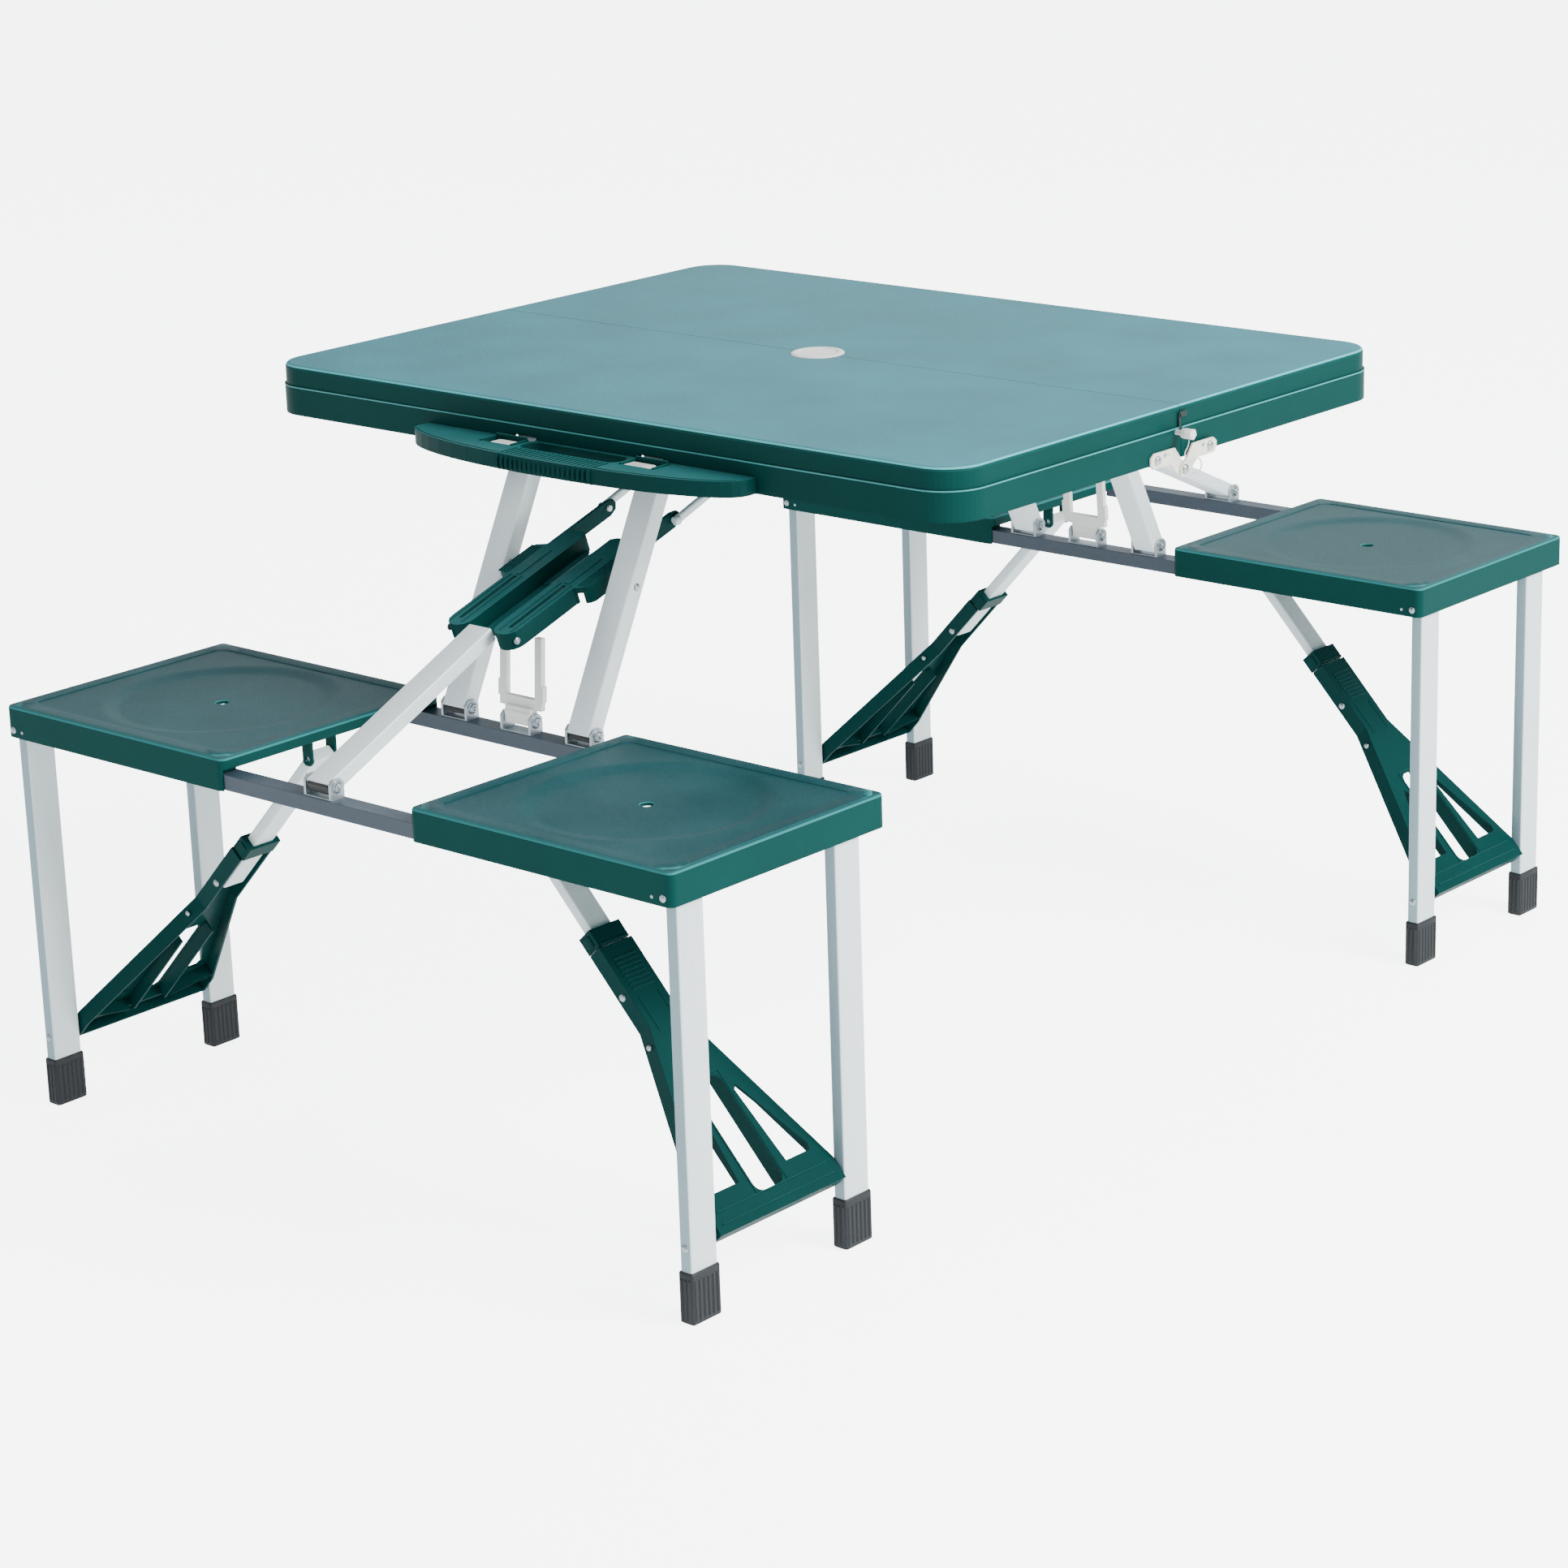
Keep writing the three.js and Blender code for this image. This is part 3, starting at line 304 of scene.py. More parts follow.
BLACK = plain_plastic("black_plug", (0.014, 0.015, 0.017), 0.5)
LABEL = plain_plastic("label_film", (0.80, 0.83, 0.84), 0.3, 400, 0.03, 0.0003)
# Dark green for the lock slot: painted shade of a recess.
SLOT_PAINTED_SHADE = plain_plastic("recess_painted_shade", (0.0015, 0.018, 0.016), 0.7)


def clear_cord_material():
    material, nodes, links, bsdf = shader("clear_cord")
    place = add(nodes, "ShaderNodeTexCoord")
    grain = noise(nodes, links, place.outputs["Object"], 500, 2)
    links.new(mix(nodes, links, grain, (0.72, 0.78, 0.78), (0.88, 0.92, 0.92)), bsdf.inputs["Base Color"])
    bsdf.inputs["Roughness"].default_value = 0.22
    bsdf.inputs["Transmission Weight"].default_value = 0.35
    return material


# Light green for the bead on the rim step: a painted highlight.
RIM_HIGHLIGHT = plain_plastic("green_rim_highlight", (0.045, 0.30, 0.31), 0.35)
CLEAR = clear_cord_material()

for slot_name, members in {
    "green_plastic": (GREEN, GREEN_SEAT, GREEN_FRAME, SLOT_PAINTED_SHADE, RIM_HIGHLIGHT), "aluminium": (ALUMINIUM, ALUMINIUM_SLANTED),
    "rail_coating": (RAIL,), "hinge_plating": (ZINC, CREAM), "white_plastic": (WHITE, LABEL),
    "foot_rubber": (RUBBER, BLACK), "clear_cord": (CLEAR,),
}.items():
    for member_material in members:
        member_material["finish_slot"] = slot_name


def paint(obj, material):
    obj.data.materials.clear()
    obj.data.materials.append(material)


def material_for(name):
    if "seat" in name:
        return GREEN_SEAT
    if name.startswith("top_"):
        return GREEN
    if "latch" in name or "cap" in name or "fork" in name or name == "lock_pin":
        return WHITE
    if "rail" in name:
        return RAIL
    if "hinge" in name:
        return CREAM
    if "foot" in name:
        return RUBBER
    if "tether" in name:
        return CLEAR
    if "brace" in name or "collar" in name or "channel" in name or "handle" in name:
        return GREEN_FRAME
    return ALUMINIUM_SLANTED if "leg" not in name else ALUMINIUM


for node_name, node_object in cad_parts.items():
    paint(node_object, material_for(node_name))


# ---------------------------------------------------------------- mesh code

def rounded_profile(width, thick, radius, steps=4):
    points = []
    for cx, cy, start in ((1, 1, 0), (-1, 1, 90), (-1, -1, 180), (1, -1, 270)):
        for i in range(steps + 1):
            angle = math.radians(start + 90 * i / steps)
            points.append((cx * (width / 2 - radius) + radius * math.cos(angle),
                           cy * (thick / 2 - radius) + radius * math.sin(angle)))
    return points


class Builder:
    """Gathers closed shapes, in millimetres, into one piece that rides on one body."""

    def __init__(self, place=lambda p: p):
        self.bm = bmesh.new()
        self.place = place

    def loft(self, rings, closed=True):
        rows = [[self.bm.verts.new(Vector(self.place(p)) * MM) for p in ring] for ring in rings]
        for a, b in zip(rows, rows[1:]):
            for i in range(len(a)):
                j = (i + 1) % len(a)
                self.bm.faces.new((a[i], a[j], b[j], b[i]))
        if closed:
            self.bm.faces.new(rows[0][::-1])
            self.bm.faces.new(rows[-1])

    def bar(self, start, end, across, width, thick, radius=2.0, steps=4, chamfer=0.6):
        """A bar with round edges from start to end; across is the direction of its width."""
        start, end, across = Vector(start), Vector(end), Vector(across).normalized()
        along = (end - start).normalized()
        normal = along.cross(across)
        rings = []
        length = (end - start).length
        for t, inset in ((0, chamfer), (chamfer, 0), (length - chamfer, 0), (length, chamfer)):
            profile = rounded_profile(width - 2 * inset, thick - 2 * inset, max(radius - inset, 0.15), steps)
            rings.append([start + along * t + across * u + normal * v for u, v in profile])
        self.loft(rings)

    def turned(self, centre, axis, profile, sides=24):
        """A turned shape: profile is (distance along the axis, radius)."""
        centre, axis = Vector(centre), Vector(axis).normalized()
        u = axis.orthogonal().normalized()
        v = axis.cross(u)
        rings = []
        for t, r in profile:
            rings.append([centre + axis * t + (u * math.cos(a) + v * math.sin(a)) * max(r, 0.02)
                          for a in (2 * math.pi * i / sides for i in range(sides))])
        self.loft(rings)

    def rivet(self, centre, axis, radius=3.6, height=1.8):
        self.turned(centre, axis, [(-0.8, radius), (0.25, radius), (height * 0.55, radius * 0.86),
                                   (height * 0.86, radius * 0.55), (height, radius * 0.16)], 20)

    def bolt(self, centre, axis, radius=4.6):
        self.turned(centre, axis, [(-0.4, radius * 1.25), (0.7, radius * 1.25), (0.9, radius * 1.1)], 24)
        self.turned(centre, axis, [(0.6, radius), (2.6, radius), (3.2, radius * 0.82), (3.25, radius * 0.5)], 6)
        self.turned(centre, axis, [(2.9, radius * 0.46), (4.2, radius * 0.46), (4.6, radius * 0.3)], 14)

    def finish(self, name, body, material, smooth=35):
        bmesh.ops.recalc_face_normals(self.bm, faces=self.bm.faces)
        mesh = bpy.data.meshes.new(name)
        self.bm.to_mesh(mesh)
        self.bm.free()
        mesh.polygons.foreach_set("use_smooth", [True] * len(mesh.polygons))
        mesh.set_sharp_from_angle(angle=math.radians(smooth))
        obj = bpy.data.objects.new(name, mesh)
        bpy.context.scene.collection.objects.link(obj)
        mesh.materials.append(material)
        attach(obj, body)
        return obj


def along(a, b):
    """The frame of a straight member in its own plane: s along it, n to its left."""
    length = math.dist(a, b)
    s = ((b[0] - a[0]) / length, (b[1] - a[1]) / length)
    n = (-s[1], s[0])
    return length, lambda t, h=0: (a[0] + t * s[0] + h * n[0], a[1] + t * s[1] + h * n[1])


def row_place(row):
    """The back row is the front row turned half round."""
    sign = 1 if row == "front" else -1
    return lambda p: (sign * p[0], sign * p[1], p[2])


def seat_place(row, hand):
    sign = 1 if hand == "right" else -1
    centre = -SEAT_CENTRE_Y if row == "front" else SEAT_CENTRE_Y
    return lambda p: (sign * p[0], centre + p[1], p[2])


# ---------------------------------------------------------------- the top

def umbrella_cap():
    piece = Builder()
    top = TOP_HEIGHT + 1.7
    piece.turned((0, 0, 0), (0, 0, 1), [
        (TOP_HEIGHT - 6.6, 19), (TOP_HEIGHT - 5.6, 20), (TOP_HEIGHT - 1.0, 20), (TOP_HEIGHT - 0.8, 26),
        (TOP_HEIGHT + 0.3, 26), (TOP_HEIGHT + 1.2, 25.2), (top, 23.6), (top - 0.1, 19.5), (top - 0.9, 18.4),
        (top - 0.9, 9), (top - 0.7, 0.5),
    ], 72)
    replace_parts(piece.finish("umbrella_hole_cap_moulding", "umbrella_cap", WHITE), "umbrella_hole_cap")


def rim_highlight_bead():
    """A light green bead where the rim of each half steps out, a little below its middle: a painted highlight on the
    ledge.
    """
    corner, steps = 40, 10
    half_x, half_y = HALF_LENGTH + RIM_HIGHLIGHT_OUT, HALF_WIDTH + RIM_HIGHLIGHT_OUT
    path = [((-half_x, -0.8), (-1, 0))]
    for centre_x, start in ((-half_x + corner, 180), (half_x - corner, 270)):
        for i in range(steps + 1):
            angle = math.radians(start + 90 * i / steps)
            out = (math.cos(angle), math.sin(angle))
            path.append(((centre_x + corner * out[0], -half_y + corner + corner * out[1]), out))
    path.append(((half_x, -0.8), (1, 0)))
    for row in ("front", "back"):
        piece = Builder(row_place(row))
        rings = []
        for (x, y), out in path:
            ring = []
            for k in range(8):
                angle = 2 * math.pi * k / 8
                ring.append((x + out[0] * 0.7 * math.cos(angle), y + out[1] * 0.7 * math.cos(angle),
                             RIM_HIGHLIGHT_Z + 0.75 * math.sin(angle)))
            rings.append(ring)
        piece.loft(rings)
        piece.finish(row + "_top_rim_highlight_bead", row + "_top", RIM_HIGHLIGHT)


def grip_ribs():
    piece = Builder()
    for i in range(20):
        x = -57 + 6 * i
        piece.bar((x - 1.7, -364.2, CASE_EDGE + 7.75), (x + 1.7, -364.2, CASE_EDGE + 7.75), (0, 1, 0),
                  31.2, 16.6, 6.5, 5, 0.7)
    piece.finish("carry_handle_grip_ribs", "front_top", GREEN_FRAME)


def handle_details():
    piece = Builder()
    for side in (-1, 1):
        x = side * 88
        for dx in (-19.5, 19.5):
            piece.bar((x + dx, -349, CASE_EDGE + 15.4), (x + dx, -326, CASE_EDGE + 15.4), (1, 0, 0), 2.4, 2.2, 0.8, 3)
        piece.bar((x - 19.5, -327.5, CASE_EDGE + 16.4), (x + 19.5, -327.5, CASE_EDGE + 16.4), (0, 1, 0), 3, 4.4, 1, 3)
    rail = []
    for i in range(41):
        x = 198 * math.cos(math.pi * i / 40)
        reach = 12 + 46 * math.sqrt(max(0, 1 - (abs(x) / 205) ** 2.2))
        rail.append(Vector((x, -320.4 - reach + 4.6, CASE_EDGE + 14.6)))
    for a, b in zip(rail, rail[1:]):
        if abs(a.x + b.x) / 2 > 66:
            piece.bar(a, b + (b - a).normalized() * 0.6, (0, 0, 1), 2.2, 3.4, 1.0, 3, 0.2)
    piece.finish("carry_handle_relief", "front_top", GREEN_FRAME)


def latch_tabs():
    for hand, side in (("left", -1), ("right", 1)):
        piece = Builder()
        x = side * 84
        y, z, half = -339.6, CASE_EDGE + 12.6, 13.4
        piece.bar((x - half, y, z), (x + half, y, z), (0, 1, 0), 14, 4.4, 1.2, 4)
        for i in range(3):
            y = -343.4 + 3.6 * i
            piece.bar((x - 9, y, CASE_EDGE + 14.9), (x + 9, y, CASE_EDGE + 14.9), (0, 1, 0), 1.6, 1.2, 0.5, 3)
        piece.finish(hand + "_latch_tab", hand + "_latch", WHITE)


def lock_slot():
    # A thin dark plate on the rim face stands for the slot: painted shade of a recess.
    piece = Builder()
    x = HALF_LENGTH
    piece.bar((x - 0.6, 3, 646), (x + 0.5, 3, 646), (0, 1, 0), 11, 5, 1, 3, 0.1)
    piece.bar((x - 0.6, -2.2, 640), (x + 0.5, -2.2, 640), (0, 1, 0), 2.6, 14, 1, 3, 0.1)
    piece.finish("lock_slot_recess_painted_shade", "front_top", SLOT_PAINTED_SHADE)


def hinge_rivets():
    for end in (1, -1):
        piece_front, piece_back = Builder(), Builder()
        front_proud, back_proud = (2.2, 4.4) if end > 0 else (4.4, 2.2)
        for piece, side, proud in ((piece_front, -1, front_proud), (piece_back, 1, back_proud)):
            x = end * (HALF_LENGTH + proud)
            piece.rivet((x, side * 38, CASE_EDGE + 4), (end, 0, 0), 4.6, 2.2)
            piece.rivet((x, side * 27, CASE_EDGE + 7), (end, 0, 0), 2.2, 1.0)
        name = "right" if end > 0 else "left"
        piece_front.finish(name + "_hinge_front_rivets", "front_top", ZINC)
        piece_back.finish(name + "_hinge_back_rivets", "back_top", ZINC)
        pivot = Builder()
        pivot.rivet((end * (HALF_LENGTH + 5), 0, HINGE_Z), (end, 0, 0), 4.6, 2.0)
        pivot.finish(name + "_hinge_pivot_rivet", "front_top" if end > 0 else "back_top", ZINC)


def lock_pin_knob():
    piece = Builder()
    x = HALF_LENGTH
    piece.turned((x, -7, 631), (1, 0, 0), [(-6, 2.0), (-5.4, 2.4), (9.6, 2.4), (10, 2.4)], 24)
    piece.turned((x, -7, 631), (1, 0, 0), [(9.8, 4.4), (10.6, 5.5), (17.8, 5.5), (18.6, 4.9), (18.95, 3.6)], 6)
    piece.turned((x, -7, 631), (1, 0, 0), [(6.6, 3.6), (7.2, 4.4), (9.4, 4.4), (9.9, 3.8)], 24)
    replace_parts(piece.finish("lock_pin_moulding", "lock_pin", WHITE), "lock_pin")


def tether():
    face = HALF_LENGTH
    knots = [(face + 14, -7, 625.2), (face + 13, -7.5, 620), (face + 10, -8, 613), (face + 9, -5, 607),
             (face + 9.5, 2, 604), (face + 10, 9, 606), (face + 10.5, 14, 603.5), (face + 10, 17, 598),
             (face + 9, 16, 593), (face + 8.5, 11, 591), (face + 8.4, 7.4, 592.2)]
    knots = [Vector(k) for k in knots]
    points = []
    for i in range(len(knots) - 1):
        a, b = knots[i], knots[i + 1]
        before = knots[i - 1] if i else a + (a - b)
        after = knots[i + 2] if i + 2 < len(knots) else b + (b - a)
        for j in range(4):
            t = j / 4
            points.append(0.5 * ((2 * a) + (b - before) * t + (2 * before - 5 * a + 4 * b - after) * t * t
                                 + (3 * a - before - 3 * b + after) * t ** 3))
    points.append(knots[-1])
    curve = bpy.data.curves.new("lock_pin_string", "CURVE")
    curve.dimensions = "3D"
    curve.bevel_depth = 0.0006
    curve.bevel_resolution = 3
    curve.use_fill_caps = True
    spline = curve.splines.new("POLY")
    spline.points.add(len(points) - 1)
    for spot, point in zip(spline.points, points):
        spot.co = (*(point * MM), 1)
    curve.materials.append(CLEAR)
    obj = bpy.data.objects.new("lock_pin_string", curve)
    bpy.context.scene.collection.objects.link(obj)
    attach(obj, "front_top")
    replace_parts(obj, "lock_pin_tether")


# ---------------------------------------------------------------- seats and legs

def dish_depth(r):
    """How far the seat panel lies below its flat part, at a distance from the middle."""
    t = max(0.0, min(1.0, (112 - r) / 20))
    return 3.5 * (t * t * (3 - 2 * t))


def seat_panel(row, hand):
    """The seat's pressed top: a flat border, a panel a little lower, a round dish and a hole."""
    piece = Builder(seat_place(row, hand))
    centre = (SEAT_X[0] + SEAT_X[1]) / 2
    half_x, half_y = (SEAT_X[1] - SEAT_X[0]) / 2, SEAT_HALF
    rings = []
    steps = 96

    def square(inset, corner):
        points = []
        for i in range(steps):
            angle = 2 * math.pi * (i + 0.5) / steps
            c, s = math.cos(angle), math.sin(angle)
            hx, hy = half_x - inset, half_y - inset
            scale = min(hx / abs(c) if abs(c) > 1e-9 else 1e9, hy / abs(s) if abs(s) > 1e-9 else 1e9)
            x, y = c * scale, s * scale
            x = max(-hx + corner * 0.29 * (abs(y) > hy - corner), min(hx - corner * 0.29 * (abs(y) > hy - corner), x))
            points.append((x, y))
        return points

    def ring(points, z):
        rings.append([(centre + x, y, z) for x, y in points])

    face = SEAT_HEIGHT + 0.25
    ring(square(3.2, 2), SEAT_HEIGHT - 0.6)
    ring(square(3.6, 2), face)
    ring(square(17.2, 0), face)
    ring(square(18.4, 0), face - 0.75)
    outer = square(19.0, 0)
    ring(outer, face - 0.8)
    for k in range(1, 5):
        t = k / 5
        ring([(x * (1 - t) + 116 * x / math.hypot(x, y) * t, y * (1 - t) + 116 * y / math.hypot(x, y) * t)
              for x, y in outer], face - 0.8)
    angles = [2 * math.pi * (i + 0.5) / steps for i in range(steps)]
    circle = [(math.cos(angle), math.sin(angle)) for angle in angles]
    for r in (116, 113.5, 112, 110, 107, 104, 101, 98, 95, 93, 91, 80, 60, 40, 20, 9, 7.2, 6.4, 6.1):
        sink = 1.2 if r < 6.3 else (0.25 if r < 7 else 0)
        ring([(r * c, r * s) for c, s in circle], face - 0.8 - dish_depth(r) - sink)
    place, bm = piece.place, piece.bm
    rows = [[bm.verts.new(Vector(place(p)) * MM) for p in points] for points in rings]
    low = [[bm.verts.new(Vector(place((x, y, z - 0.6))) * MM) for x, y, z in points] for points in rings]
    for a, b in [(low[0], rows[0]), *zip(rows, rows[1:]), (rows[-1], low[-1]), *zip(low[::-1], low[-2::-1])]:
        for i in range(steps):
            j = (i + 1) % steps
            bm.faces.new((a[i], a[j], b[j], b[i]))
    piece.finish(f"{row}_{hand}_seat_panel", row + "_frame", GREEN_SEAT, 60)


def seat_screws(row, hand):
    piece = Builder(seat_place(row, hand))
    for side in (-1, 1):
        piece.rivet((LEG_X, side * SEAT_HALF, 373), (0, side, 0), 3.4, 1.6)
        piece.rivet((LEG_X - 12, side * SEAT_HALF, 372.4), (0, side, 0), 1.6, 0.7)
    piece.finish(f"{row}_{hand}_seat_screws", row + "_frame", ZINC)


def legs(row, hand):
    body = f"{row}_{hand}_legs"
    for side, offset in zip(("near", "far"), LEG_OFFSETS):
        piece = Builder(seat_place(row, hand))
        piece.bar((LEG_X, offset, 38.2), (LEG_X, offset, LEG_TOP), (0, 1, 0), *LEG_SIZE, 2.0, 4, 0.3)
        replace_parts(piece.finish(f"{body}_{side}_tube", body, ALUMINIUM), f"{row}_{hand}_{side}_leg")
    screws = Builder(seat_place(row, hand))
    for offset in LEG_OFFSETS:
        for side in (-1, 1):
            screws.rivet((LEG_X, offset + side * LEG_SIZE[0] / 2, BRACE_FOOT[1]), (0, side, 0), 3.8, 2.0)
    screws.finish(body + "_screws", body, ZINC)
    for side, offset in zip(("near", "far"), LEG_OFFSETS):
        boot = Builder(seat_place(row, hand))
        rings = []
        for z, grow in ((0, -1.2), (1.0, 0), (44.6, 0), (45.6, -0.5), (46, -1.2)):
            rings.append([(LEG_X + v, offset + u, z) for u, v in rounded_profile(35 + 2 * grow, 16 + 2 * grow, 2.4)])
        boot.loft(rings)
        for sign in (-1, 1):
            for i in range(6):
                y = offset - 13.5 + 27 * i / 5
                boot.bar((LEG_X + sign * 8, y, 3.5), (LEG_X + sign * 8, y, 40), (0, 1, 0), 2.6, 2.0, 0.9, 3)
            for i in range(3):
                x = LEG_X - 4.6 + 4.6 * i
                boot.bar((x, offset + sign * 17.5, 3.5), (x, offset + sign * 17.5, 40), (1, 0, 0), 2.4, 2.0, 0.9, 3)
        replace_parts(boot.finish(f"{body}_{side}_boot", body, RUBBER), f"{row}_{hand}_{side}_foot")


def stay_and_brace(row, hand):
    place = seat_place(row, hand)
    length, at = along(KNEE, STAY_TOP)
    piece = Builder(place)
    point = lambda t, y=0, n=0: (at(t, n)[0], BRACE_Y + y, at(t, n)[1])
    piece.bar(point(-4.5), point(length + 4.5), (0, 1, 0), 25, 11, 1.8, 4, 0.4)
    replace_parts(piece.finish(f"{row}_{hand}_stay_drawn_tube", f"{row}_{hand}_stay", ALUMINIUM_SLANTED),
                f"{row}_{hand}_stay_tube")
    reach, on = along(BRACE_FOOT, KNEE)
    spot = lambda s, y=0, n=0: (on(s, n)[0], BRACE_Y + y, on(s, n)[1])
    lengthwise = (on(1)[0] - on(0)[0], 0, on(1)[1] - on(0)[1])
    ribs = Builder(place)
    for i in range(8):
        s = 219 + 4.4 * i
        ribs.bar(spot(s, -14, -9), spot(s, 14, -9), lengthwise, 2.2, 2.0, 0.8, 3)
    for s, half in ((3, 72), (14, 70)):
        ribs.bar(spot(s, -half, -9), spot(s, half, -9), lengthwise, 2.0, 1.6, 0.7, 3)
    for side in (-1, 1):
        ribs.bar(spot(176, side * 12, -9.0), spot(212, side * 12, -9.0), (0, 1, 0), 1.6, 1.4, 0.6, 3)
        ribs.bar(spot(12.5, side * 19.4, -9.0), spot(126, side * 19.4, -9.0), (0, 1, 0), 1.4, 1.6, 0.6, 3)
    ribs.bar(spot(126, -19.4, -9), spot(126, 19.4, -9), lengthwise, 1.4, 1.6, 0.6, 3)
    ribs.finish(f"{row}_{hand}_brace_ribs", f"{row}_{hand}_brace", GREEN_FRAME)
    rivets = Builder(place)
    for side in (-1, 1):
        rivets.rivet(spot(reach, side * 20, 0), (0, side, 0), 3.6, 1.8)
        rivets.rivet(spot(168, side * 27.6, -2), (0, side, 0), 2.6, 1.2)
    rivets.finish(f"{row}_{hand}_brace_rivets", f"{row}_{hand}_brace", ZINC)
    catch = Builder(place)
    crosswise = (at(0, 1)[0] - at(0)[0], 0, at(0, 1)[1] - at(0)[1])
    slantwise = (at(1)[0] - at(0)[0], 0, at(1)[1] - at(0)[1])
    for side in (-1, 1):
        catch.bar(point(50.5, side * 18.5), point(61, side * 18.5), crosswise,
                  9, 2.4, 1, 3)
    catch.bar(point(48.4, -17, -8.5), point(48.4, 17, -8.5), slantwise, 2.4, 2.0, 0.8, 3)
    catch.finish(f"{row}_{hand}_collar_grips", f"{row}_{hand}_collar", GREEN_FRAME)


# ---------------------------------------------------------------- the frames

def member(piece, a, b, x, start, end, width, thick, radius=1.8):
    length, at = along(a, b)
    p, q = at(-start), at(length + end)
    piece.bar((x, *p), (x, *q), (1, 0, 0), width, thick, radius, 4, 0.4)


def frame_row(row):
    place = row_place(row)
    hands = ("left", "right") if row == "front" else ("right", "left")
    supports = []
    for hand, x in zip(hands, (-SUPPORT_X, SUPPORT_X)):
        piece = Builder(place)
        member(piece, (INNER_Y, PIVOT_Z), SUPPORT_HEAD, x, 3, 4, 27, 18)
        supports.append(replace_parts(piece.finish(f"{row}_{hand}_support_tube", row + "_supports", ALUMINIUM_SLANTED),
                                    f"{row}_{hand}_support"))
    plugs = Builder(place)
    for x in (-SUPPORT_X, SUPPORT_X):
        length, at = along((INNER_Y, PIVOT_Z), SUPPORT_HEAD)
        plugs.bar((x, *at(-7)), (x, *at(-2)), (1, 0, 0), 26, 11, 1.5, 3, 0.8)
    plugs.finish(row + "_support_plugs", row + "_supports", BLACK)
    rivets = Builder(place)
    for x in (-SUPPORT_X, SUPPORT_X):
        for side in (-1, 1):
            rivets.rivet((x + side * 13.5, *at(length * 0.50)), (side, 0, 0), 3.6, 1.8)
    rivets.finish(row + "_support_rivets", row + "_supports", ZINC)

    piece = Builder(place)
    member(piece, (OUTER_Y, PIVOT_Z), ARM_HEAD, 0, 5, 2.5, 28, 14)
    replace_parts(piece.finish(row + "_diagonal_arm_tube", row + "_arm", ALUMINIUM_SLANTED), row + "_diagonal_arm")
    plug = Builder(place)
    length, at = along((OUTER_Y, PIVOT_Z), ARM_HEAD)
    plug.bar((0, *at(-7.5)), (0, *at(-4)), (1, 0, 0), 26.6, 10, 1.5, 3, 0.8)
    plug.finish(row + "_arm_plug", row + "_arm", BLACK)

    bolts = Builder(place)
    for y, spots in ((INNER_Y, ((-SUPPORT_X, 16.5), (0, 19), (SUPPORT_X, 16.5))), (OUTER_Y, ((0, 17),))):
        for x, half in spots:
            for side in (-1, 1):
                bolts.bolt((x + side * half, y, PIVOT_Z), (side, 0, 0))
            bolts.rivet((x - half + 5, y, 382.2), (0, 0, 1), 2.4, 0.5)
    bolts.finish(row + "_bracket_bolts", row + "_frame", ZINC)

    rods = Builder(place)
    for side in (-1, 1):
        member(rods, CHANNEL_HEAD, ROD_HEAD, side * 46.2, 3.2, 3.2, 5.4, 8.4, 2.2)
        rods.turned((side * 36.5, *CHANNEL_HEAD), (side, 0, 0), [(0, 2.6), (0.6, 3), (12, 3), (12.4, 2.8)], 20)
        rods.rivet((side * 49, *CHANNEL_HEAD), (side, 0, 0), 4.2, 2.0)
    rods.turned((-49, *ROD_HEAD), (1, 0, 0), [(0, 2.6), (0.6, 3), (97.4, 3), (98, 2.6)], 20)
    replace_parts(rods.finish(row + "_rod_link_wire", row + "_rods", ALUMINIUM_SLANTED), row + "_rod_link")

    channel(row, place)
    fork_collar = Builder(place)
    fork_collar.bar((-16.2, INNER_Y, PIVOT_Z + 5.5), (16.2, INNER_Y, PIVOT_Z + 5.5), (0, 1, 0), 10.4, 6, 1.4, 3)
    fork_collar.finish(row + "_fork_boss", row + "_fork", WHITE)


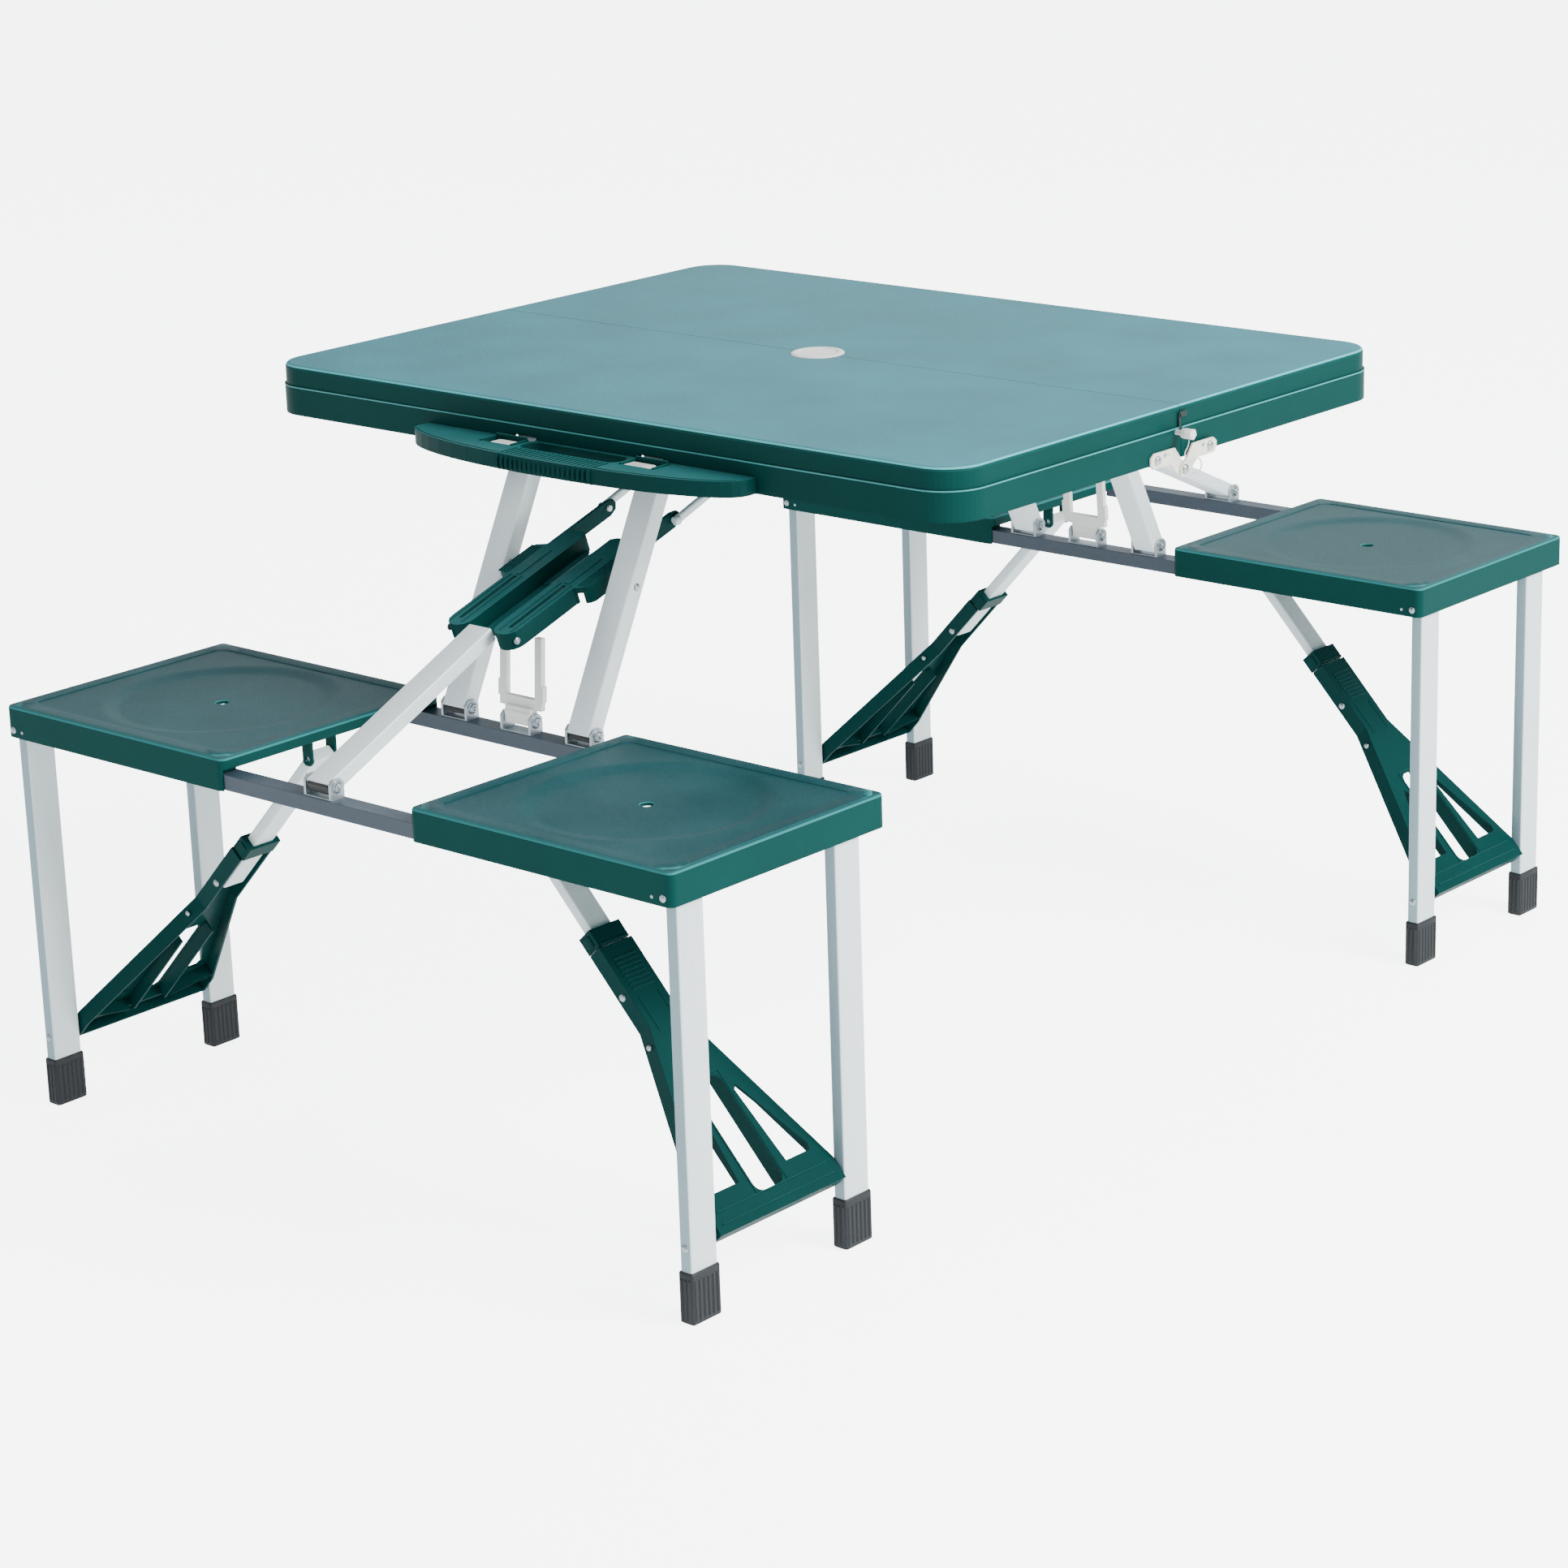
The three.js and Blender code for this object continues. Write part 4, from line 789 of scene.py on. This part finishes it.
def channel(row, place):
    at = along(ARM_HEAD, CHANNEL_HEAD)[1]
    spot = lambda s, x, n: (x, *at(s, n))
    ribs = Builder(place)
    for side in (-1, 1):
        for i in range(4):
            x = side * (45 + 3.4 * i)
            ribs.bar(spot(86, x, 7), spot(134, x, 7), (1, 0, 0), 1.4, 1.8, 0.6, 3)
        for x in (24, 38):
            ribs.bar(spot(2, side * x, 7), spot(86, side * x, 7), (1, 0, 0), 1.2, 1.4, 0.5, 3)
        ribs.bar(spot(86, side * 31, 7), spot(132, side * 31, 7), (1, 0, 0), 6, 1.2, 0.5, 3)
    ribs.finish(row + "_channel_ribs", row + "_channel", GREEN_FRAME)
    trough = Builder(place)
    half = 15.4
    upper = [(98.5, half - 2 * half * i / 16) for i in range(17)]
    lower = [(13 + 6 * (1 - math.sin(math.pi * i / 16)), -half + 2 * half * i / 16) for i in range(17)]
    trough.loft([[spot(s, x, n) for s, x in upper + lower] for n in (-9.4, -8.0)])
    trough.finish(row + "_channel_floor", row + "_channel", GREEN_FRAME)
    label = Builder(place)
    label.bar(spot(101, 0, -7.56), spot(158, 0, -7.56), (1, 0, 0), 15, 0.16, 0.07, 2, 0.04)
    label.finish(row + "_channel_label", row + "_channel", LABEL)
    rivets = Builder(place)
    for side in (-1, 1):
        rivets.rivet(spot(3, side * 42.5, -1.5), (side, 0, 0), 3.4, 1.5)
    rivets.finish(row + "_channel_rivets", row + "_channel", ZINC)


umbrella_cap()
rim_highlight_bead()
grip_ribs()
handle_details()
latch_tabs()
lock_slot()
hinge_rivets()
lock_pin_knob()
tether()
for row in ("front", "back"):
    frame_row(row)
    for hand in ("left", "right"):
        seat_panel(row, hand)
        seat_screws(row, hand)
        legs(row, hand)
        stay_and_brace(row, hand)


# ---------------------------------------------------------------- floor

def floor():
    bpy.ops.mesh.primitive_plane_add(size=FLOOR_SIZE, location=(0, 0, -0.0005))
    plane = bpy.context.object
    plane.name = "floor"
    material, nodes, links, bsdf = shader("studio_floor")
    bsdf.inputs["Base Color"].default_value = (0.97, 0.98, 0.98, 1)
    bsdf.inputs["Roughness"].default_value = 0.6
    bsdf.inputs["Emission Color"].default_value = (0.97, 0.99, 1.0, 1)
    seen = add(nodes, "ShaderNodeLightPath").outputs["Is Camera Ray"]
    links.new(mapped(nodes, links, seen, 0, 1, FLOOR_GLOW, FLOOR_GLOW_SEEN), bsdf.inputs["Emission Strength"])
    plane.data.materials.append(material)


floor()
